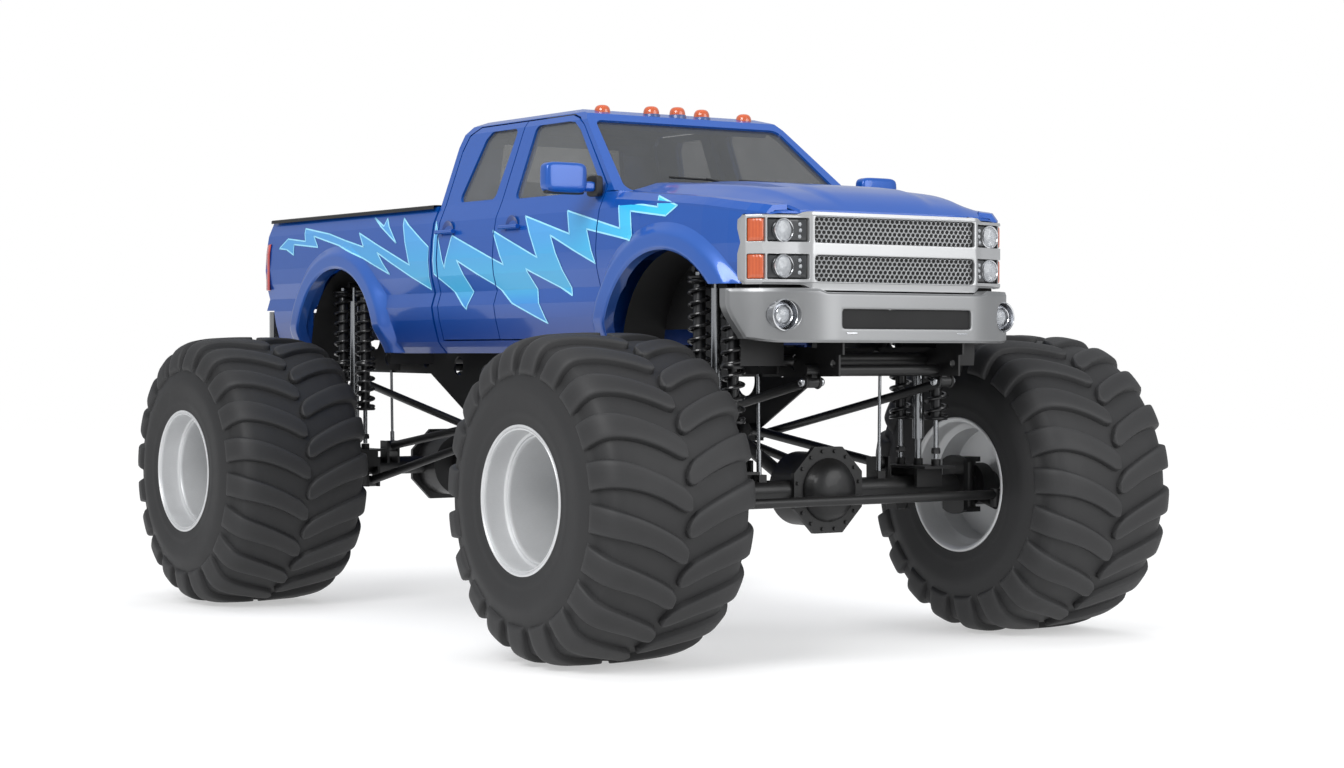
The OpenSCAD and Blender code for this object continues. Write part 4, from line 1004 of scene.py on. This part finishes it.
def arch_liners(side, name):
    """Dark liners a few millimetres inside the wheel arches."""
    t = np.radians(np.linspace(-8, 188, 72))
    for where, arch, depth in (("front", ARCH_X, .79), ("rear", -ARCH_X, .82)):
        rings = [np.stack([arch + r * np.cos(t), t * 0 + side * y, ARCH_Z + r * np.sin(t)], axis=-1)
                 for y, r in ((.515, ARCH_R - .002), (.66, ARCH_R - .003), (depth, ARCH_R - .004))]
        piece(f"arch_liner_{where}_{name}", *grid(np.stack(rings, axis=1)), "black_plastic",
              "chassis", "trim_plastic")


def tail_lens(side, name):
    """A tail lamp's lens, wrapped round the bed's rear corner."""
    lamp = np.array([(-2.8625, .800), (-2.8635, .860), (-2.858, .895), (-2.842, .9115),
                     (-2.80, .9165), (-2.786, .915)])
    z = SILL + np.concatenate([[.42, .424], np.linspace(.44, .70, 8), [.728, .732]])
    fit = np.array([-.006] + [0] * 10 + [-.006])
    y = lamp[None, :, 1] + fit[:, None] - .012 * smooth(z, 2.22, 2.32)[:, None]
    points = np.stack([lamp[None, :, 0] + 0 * y, side * y, z[:, None] + 0 * y], axis=-1)
    piece(f"tail_lens_{name}", *grid(points), "lamp_red", "chassis", "lamp_red")


def nose(props):
    """The surround and the bumper, then each side's brow, arch liners and tail lens."""
    surround()
    # a flat dark plate behind the openings, standing in as painted shade for the dark inside of the nose
    piece("nose_shade_plate", *box((2.500, -.78, SILL + .24), (2.512, .78, SILL + .70), .003, "x"),
          "mesh_dark", "chassis", "frame_black")
    bumper()
    for side, name in SIDES:
        brow(side, name)
        arch_liners(side, name)
        tail_lens(side, name)


def wipers():
    """Two wipers on the windscreen, whose foot is (1.29, 2.45) and which leans back 0.849 radians."""
    lean = .849

    def on_screen(y, up, off):
        return np.array([1.290 - up * sin(lean) + off * cos(lean), y,
                         2.450 + up * cos(lean) + off * sin(lean)])

    pivot = [(0, 1e-4), (0, .016), (.02, .014), (.024, 1e-4)]
    parts = []
    for y0, y1 in ((-.30, .12), (.18, .60)):
        arm = [on_screen(y0 + .40, .062, .014), on_screen(y0 + .30, .074, .022),
               on_screen(y0 + .12, .120, .020)]
        blade = [on_screen(y0 - .12, .134, .010), on_screen(y0 + .12, .122, .014),
                 on_screen(y1, .100, .010)]
        parts += [tube(arm, .007, 8), tube(blade, .006, 8),
                  capped(pivot, on_screen(y0 + .40, .060, -.002), around=16)]
    return parts


def rail_caps():
    """The dark caps along the bed's two side rails."""
    x = np.linspace(-2.838, -.640, 24)[:, None]
    section = np.array([(-.018, -.014), (-.018, .004), (-.012, .0095), (.020, .0105),
                        (.050, .0095), (.056, .004), (.056, -.002)])
    outer = half_width(-1.0, 2.455)
    parts = []
    for side, _ in SIDES:
        y = side * (outer + .012 - section[None, :, 0]) + 0 * x
        z = 2.4552 + section[None, :, 1] + 0 * x
        parts.append(grid(np.stack([x + 0 * y, y, z], axis=-1)))
    return parts


def roof_lamps():
    """Five roof lamps: amber domes on bases, set lower towards the sides of the roof."""
    spots = [(x, y, 2.998 - abs(y) * .024)
             for x, y in ((.639, .500), (.639, -.500), (.662, .178), (.662, -.178), (.670, 0))]
    dome = [(-.075, .047)]
    dome += [(-.040 + .040 * sin(a), .046 * cos(a) ** .6 + 1e-4) for a in np.linspace(0, pi / 2, 14)]
    base = [(-.095, .052), (-.052, .052), (-.046, .049), (-.046, 1e-4)]
    piece("roof_lamp_domes", *joined(*[capped(dome, at) for at in spots]), "lamp_amber", "chassis",
          "lamp_amber")
    piece("roof_lamp_bases", *joined(*[capped(base, at) for at in spots]), "lamp_base", "chassis",
          "body_paint", ("marker_lamps",))


def mirrors():
    """Door mirrors: a painted head, a black arm and a bright face on each front door."""
    head = joined(pillow((1.108, .958, 2.437), (1.200, 1.222, 2.602), 5.5),
                  pillow((1.118, .885, 2.450), (1.182, 1.0, 2.505), 4))
    arm = joined(pillow((1.085, .858, 2.425), (1.200, .905, 2.540), 5),
                 pillow((1.128, .968, 2.430), (1.182, 1.212, 2.450), 5))
    face = slab(rounded((.975, 2.452), (1.207, 2.588), .03), 1.1055, 1.1095, "x", .001)
    for side, name in SIDES:
        for part, (points, faces), material, slot, replaces in (
                ("head", head, "paint_blue", "body_paint", (f"mirror_{name}",)),
                ("arm", arm, "black_plastic", "trim_plastic", ()),
                ("face", face, "chrome_ring", "silver_trim", ())):
            piece(f"mirror_{part}_{name}", points * [1, side, 1], faces, material,
                  f"front_door_{name}", slot, replaces)


def handle_cups():
    """The round recess behind each door's handle."""
    cup = [(.0015, .068), (.003, .066), (.001, .058), (-.006, .045), (-.010, .020), (-.011, 1e-4)]
    for side, name in SIDES:
        for door, x in (("rear", -.425), ("front", .305)):
            at = (x, side * (float(half_width(x, 2.294)) + .0015), 2.294)
            # the recess is painted a darker copy of the body paint: painted shade
            piece(f"handle_cup_{door}_{name}", *capped(cup, at, "y", side, 40), "paint_shade",
                  f"{door}_door_{name}", "body_paint")


def small_fittings(props):
    """Roof lamps, bumper tabs, wipers, bed rail caps, mirrors, the bumper's slot and handle cups."""
    roof_lamps()
    tabs = [box((2.7405, y - .035, SILL + .096), (2.7445, y + .035, SILL + .104), .0015, "x")
            for y in (-.37, .37)]
    piece("bumper_tabs", *joined(*tabs), "chrome_ring", "chassis", "silver_trim")
    piece("trim_black", *joined(*wipers(), *rail_caps()), "black_plastic", "chassis", "trim_plastic")
    mirrors()
    slot = slab(rounded((-.428, SILL + .124), (.428, SILL + .220), .012), 2.7245, 2.7275, "x", .001)
    piece("bumper_slot", *slot, "slot_mesh", "chassis", "frame_black")
    handle_cups()


def pad(centre, size, lean=0.0, crown=.03):
    """A cushion crowned by (1 - |u|^3)(1 - |v|^3), nipped in at its rim and leaned about y."""
    u = np.sin(np.linspace(-pi / 2, pi / 2, 14))
    a, b = np.meshgrid(u, u, indexing="ij")
    x = a * size[0] / 2 * (1 - .06 * np.abs(b) ** 2)
    y = b * size[1] / 2 * (1 - .04 * np.abs(a) ** 2)
    sheets = []
    for s in (1, -1):
        z = s * (size[2] / 2 - crown + crown * (1 - np.abs(a) ** 3) * (1 - np.abs(b) ** 3))
        z = z * (1 - .75 * (np.maximum(np.abs(a), np.abs(b)) > .999))
        leaned = [x * cos(lean) + z * sin(lean), y, -x * sin(lean) + z * cos(lean)]
        sheets.append(np.stack(leaned, axis=-1) + centre)
    rim = [border(p) for p in sheets]
    return joined(grid(sheets[0]), grid(sheets[1]), grid(np.stack(rim, axis=1), wrap_rows=True))


def seats(props):
    """Padded seats: each a cushion, a leaned back and a headrest on two posts, with plain bases."""
    lean = radians(76)
    parts = []
    for x, y, w in ((.640, .360, .500), (.640, -.360, .500), (-.120, .330, .600), (-.120, -.330, .600)):
        parts.append(pad(np.array([x + .01, y, SILL + .325]), (.46, w - .02, .125)))
        parts.append(pad(np.array([x - .293, y, SILL + .655]), (.53, w - .02, .115), lean))
        parts.append(pad(np.array([x - .345, y, SILL + .960]), (.16, .26, .10), lean, .02))
        for s, _ in SIDES:
            parts.append(tube([(x - .325, y + s * .06, SILL + .86), (x - .342, y + s * .06, SILL + .95)],
                              .007, 8))
    base = [box((x0, y0, SILL + .075), (x1, y1, SILL + .26), .01)
            for x0, x1, y0, y1 in ((.48, .82, -.56, -.16), (.48, .82, .16, .56), (-.33, .06, -.60, .60))]
    obj = piece("seat_pads", *joined(*parts), "seat_cloth", "chassis", "seat_fabric", ("seats",))
    piece("seat_bases", *joined(*base), "black_plastic", "chassis", "trim_plastic")


# ------------------------------------------------------------------ the carried-over nodes
def node_materials(props):
    """Gives each CAD node that still shows its procedural material."""
    finish = {
        "black_frame": ["chassis_frame", "front_axle", "rear_axle", "suspension_links", "knuckle_left",
                        "knuckle_right", "tie_rod", "drive_shafts"],
        "engine_grey": ["engine_block", "transfer_case"],
        "steel_bright": ["dampers", "limit_rods"],
        "paint_blue": ["cab_shell", "door_front_left", "door_front_right", "door_rear_left",
                       "door_rear_right", "cargo_bed", "tailgate", "front_fenders"],
        "black_plastic": ["inner_fenders", "dashboard"],
        "glass_screen": ["windscreen", "rear_window"],
        "glass_side": ["glass_front_left", "glass_front_right", "glass_rear_left", "glass_rear_right"],
        "mesh_dark": ["grille_mesh"],
        "bumper_silver": ["rear_bumper"],
        "lamp_red": ["tail_lamps"],
    }
    for material, nodes in finish.items():
        for node in nodes:
            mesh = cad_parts[node].data
            mesh.materials.clear()
            mesh.materials.append(MATERIALS[material])


MATERIALS = {}


def materials(props):
    """Every material, built once."""
    made = {
        "paint_blue": paint(),
        # a lighter copy of the body paint, painted light for the flares
        "paint_flare": paint("paint_flare", (36, 92, 178), (8, 62, 142), 1.1),
        # a darker copy of the body paint, painted shade for the handle recesses
        "paint_shade": paint("paint_shade", (12, 58, 132), (2, 34, 92), 0.8),
        "flash_cyan": decal(),
        "flash_outline": pinstripe(),
        "rubber": rubber(),
        "silver_rim": satin("silver_rim", (226, 227, 228), (186, 187, 188), .42, .50, (30, 2, 30), .06),
        "steel_bright": satin("steel_bright", (190, 192, 194), (120, 122, 126), .24, 1.0, (60, 60, 3), .08),
        "satin_silver": satin("satin_silver", (188, 189, 190), (172, 173, 174), .42, .8, (8, 3, 30), .03),
        "bumper_silver": satin("bumper_silver", (142, 143, 144), (132, 133, 134), .38, .8, (8, 2, 12), .02),
        "chrome_ring": satin("chrome_ring", (232, 233, 235), (190, 192, 196), .14, .95, (10, 10, 10), .03),
        "silver_web": satin("silver_web", (196, 197, 198), (128, 130, 132), .36, .7, (20, 20, 20), .08),
        "black_frame": enamel("black_frame", (14, 14, 15), (7, 7, 8), .48, 60.0, .1, .15, .08, .1),
        "black_spring": enamel("black_spring", (34, 34, 36), (16, 16, 17), .34, 40.0, .3, .10, .08, .4),
        "engine_grey": enamel("engine_grey", (52, 53, 56), (26, 27, 29), .5, 30.0, .3, .4, .2),
        "black_plastic": enamel("black_plastic", (26, 26, 27), (14, 14, 15), .55, 90.0, 0.0, .35, .12),
        "lamp_dark": enamel("lamp_dark", (58, 60, 63), (30, 31, 33), .30, 120.0, .2, .1, .05, .7),
        "lamp_base": enamel("lamp_base", (70, 92, 140), (44, 62, 104), .4, 60.0, .1, .1, .1, .5),
        "mesh_dark": enamel("mesh_dark", (16, 15, 14), (6, 6, 6), .7, 80.0),
        "slot_mesh": enamel("slot_mesh", (14, 14, 15), (8, 8, 9), .75, 110.0, 0.0, .5),
        "glass_screen": glass("glass_screen", (58, 60, 61), .55),
        "glass_side": glass("glass_side", (104, 106, 106), .50),
        "lamp_clear": lens("lamp_clear", (226, 230, 234), (150, 154, 160), .55, 0.0, .05),
        "lamp_amber": lens("lamp_amber", (196, 92, 48), (158, 62, 28), 1.0, 700.0, .12),
        "lamp_red": lens("lamp_red", (206, 44, 34), (140, 16, 14), 1.0, 500.0, .12),
        "seat_cloth": fabric("seat_cloth", (58, 58, 60), (30, 30, 32)),
    }
    MATERIALS.update(made)


def studio(scene):
    """The light from all round, with plain white where the camera sees past the floor."""
    world = bpy.data.worlds.new("studio")
    scene.world = world
    world.use_nodes = True
    nodes, links = world.node_tree.nodes, world.node_tree.links
    nodes.clear()
    ray = nodes.new("ShaderNodeLightPath")
    sky = nodes.new("ShaderNodeBackground")
    sky.inputs["Color"].default_value = (.90, .92, .95, 1)
    sky.inputs["Strength"].default_value = .62
    white = nodes.new("ShaderNodeBackground")
    white.inputs["Color"].default_value = (1, 1, 1, 1)
    white.inputs["Strength"].default_value = 1.0
    pick = nodes.new("ShaderNodeMixShader")
    out = nodes.new("ShaderNodeOutputWorld")
    seen = nodes.new("ShaderNodeMath")
    seen.operation = "MAXIMUM"
    links.new(ray.outputs["Is Camera Ray"], seen.inputs[0])
    links.new(ray.outputs["Is Transmission Ray"], seen.inputs[1])
    links.new(seen.outputs[0], pick.inputs[0])
    links.new(sky.outputs[0], pick.inputs[1])
    links.new(white.outputs[0], pick.inputs[2])
    links.new(pick.outputs[0], out.inputs[0])


def stage(props):
    """Pale floor, soft studio lights, white seen behind, and the camera to the front right."""
    scene = bpy.context.scene
    scene.view_settings.view_transform = "Standard"
    floor = bpy.data.meshes.new("floor")
    r, t = np.linspace(0, 40, 12), np.linspace(0, tau, 48, endpoint=False)
    rr, tt = np.meshgrid(r, t, indexing="ij")
    p = np.stack([rr * np.cos(tt), rr * np.sin(tt), 0 * rr], axis=-1).reshape(-1, 3)
    floor.from_pydata(p.tolist(), [], quads(12, 48, wrap_columns=True)[:, ::-1].tolist())
    g = Graph("floor_pale")
    x, y, _ = g.place()
    far = ((x * x + y * y) ** 0.5).ramp(3.0, 7.0)
    near = g.mix(g.noise(0.4, 2.0), (.52, .52, .52), (.54, .54, .54))
    glow = g.mix(far, (.46, .46, .46), (1, 1, 1))
    floor.materials.append(g.finish(base_color=g.mix(far, near, (0, 0, 0)), roughness=.85,
                                    emission_color=glow, emission_strength=1.0))
    obj = bpy.data.objects.new("floor", floor)
    obj.location = (0, 0, -.001)
    scene.collection.objects.link(obj)

    studio(scene)
    for name, at, turn, size, power in (
            ("key", (6, -10, 9), (52, 0, 31), 7, 1150), ("fill", (11, 4, 5), (70, 0, 110), 8, 520),
            ("back", (-9, 6, 8), (-58, 0, 56), 8, 420), ("top", (0, 0, 11), (0, 0, 0), 9, 620)):
        light = bpy.data.lights.new(name, "AREA")
        light.shape = "DISK"
        light.size, light.energy = size, power
        obj = bpy.data.objects.new(name, light)
        obj.location = at
        obj.rotation_euler = [radians(a) for a in turn]
        obj.visible_glossy = name in ("key", "fill")
        scene.collection.objects.link(obj)

    camera = bpy.data.cameras.new("camera")
    camera.lens = 69.0
    camera.sensor_width = 36.0
    camera.clip_end = 200
    obj = bpy.data.objects.new("camera", camera)
    obj.location = (12.920, -8.577, 1.560)
    obj.rotation_euler = (radians(89.36), 0, radians(55.12))
    scene.collection.objects.link(obj)
    scene.camera = obj


# ------------------------------------------------------------------ the add-on
class TruckSettings(bpy.types.PropertyGroup):
    lugs: IntProperty(name="Lugs", description="Lugs on each half of a tread", default=20, min=8, max=40)
    lug_height: FloatProperty(name="Lug height", description="How far a lug stands off the carcass",
                              default=0.034, min=0.01, max=0.06, unit="LENGTH")


def flares(props):
    """Wheel-arch flares on the bed and the front fenders."""
    for side, _ in SIDES:
        flare(side, ARCH_X, "front")
        flare(side, -ARCH_X, "rear")


STEPS = [("materials", materials), ("wheels", wheels), ("suspension", suspension), ("flares", flares),
         ("hood", hood), ("flash", flash), ("mesh_screen", mesh_screen), ("lamps", lamps), ("nose", nose),
         ("small_fittings", small_fittings), ("seats", seats), ("node_materials", node_materials),
         ("stage", stage)]


def operator(step, make):
    """An operator class that builds one group of pieces."""
    def execute(self, context):
        make(context.scene.truck)
        return {"FINISHED"}
    return type(f"TRUCK_OT_{step}", (bpy.types.Operator,), {
        "__doc__": make.__doc__, "bl_idname": f"truck.{step}", "bl_label": step.replace("_", " ").title(),
        "bl_options": {"REGISTER", "UNDO"}, "execute": execute})


class TRUCK_PT_panel(bpy.types.Panel):
    """Settings and one button for each group of pieces."""
    bl_label = "Monster Truck"
    bl_idname = "TRUCK_PT_panel"
    bl_space_type = "VIEW_3D"
    bl_region_type = "UI"
    bl_category = "Truck"

    def draw(self, context):
        settings = context.scene.truck
        self.layout.prop(settings, "lugs")
        self.layout.prop(settings, "lug_height")
        for step, _ in STEPS:
            self.layout.operator(f"truck.{step}")


CLASSES = [TruckSettings] + [operator(step, make) for step, make in STEPS] + [TRUCK_PT_panel]


def register():
    for c in CLASSES:
        bpy.utils.register_class(c)
    bpy.types.Scene.truck = bpy.props.PointerProperty(type=TruckSettings)


def unregister():
    del bpy.types.Scene.truck
    for c in reversed(CLASSES):
        bpy.utils.unregister_class(c)


def main():
    register()
    for step, _ in STEPS:
        getattr(bpy.ops.truck, step)()


if __name__ == "__main__":
    main()
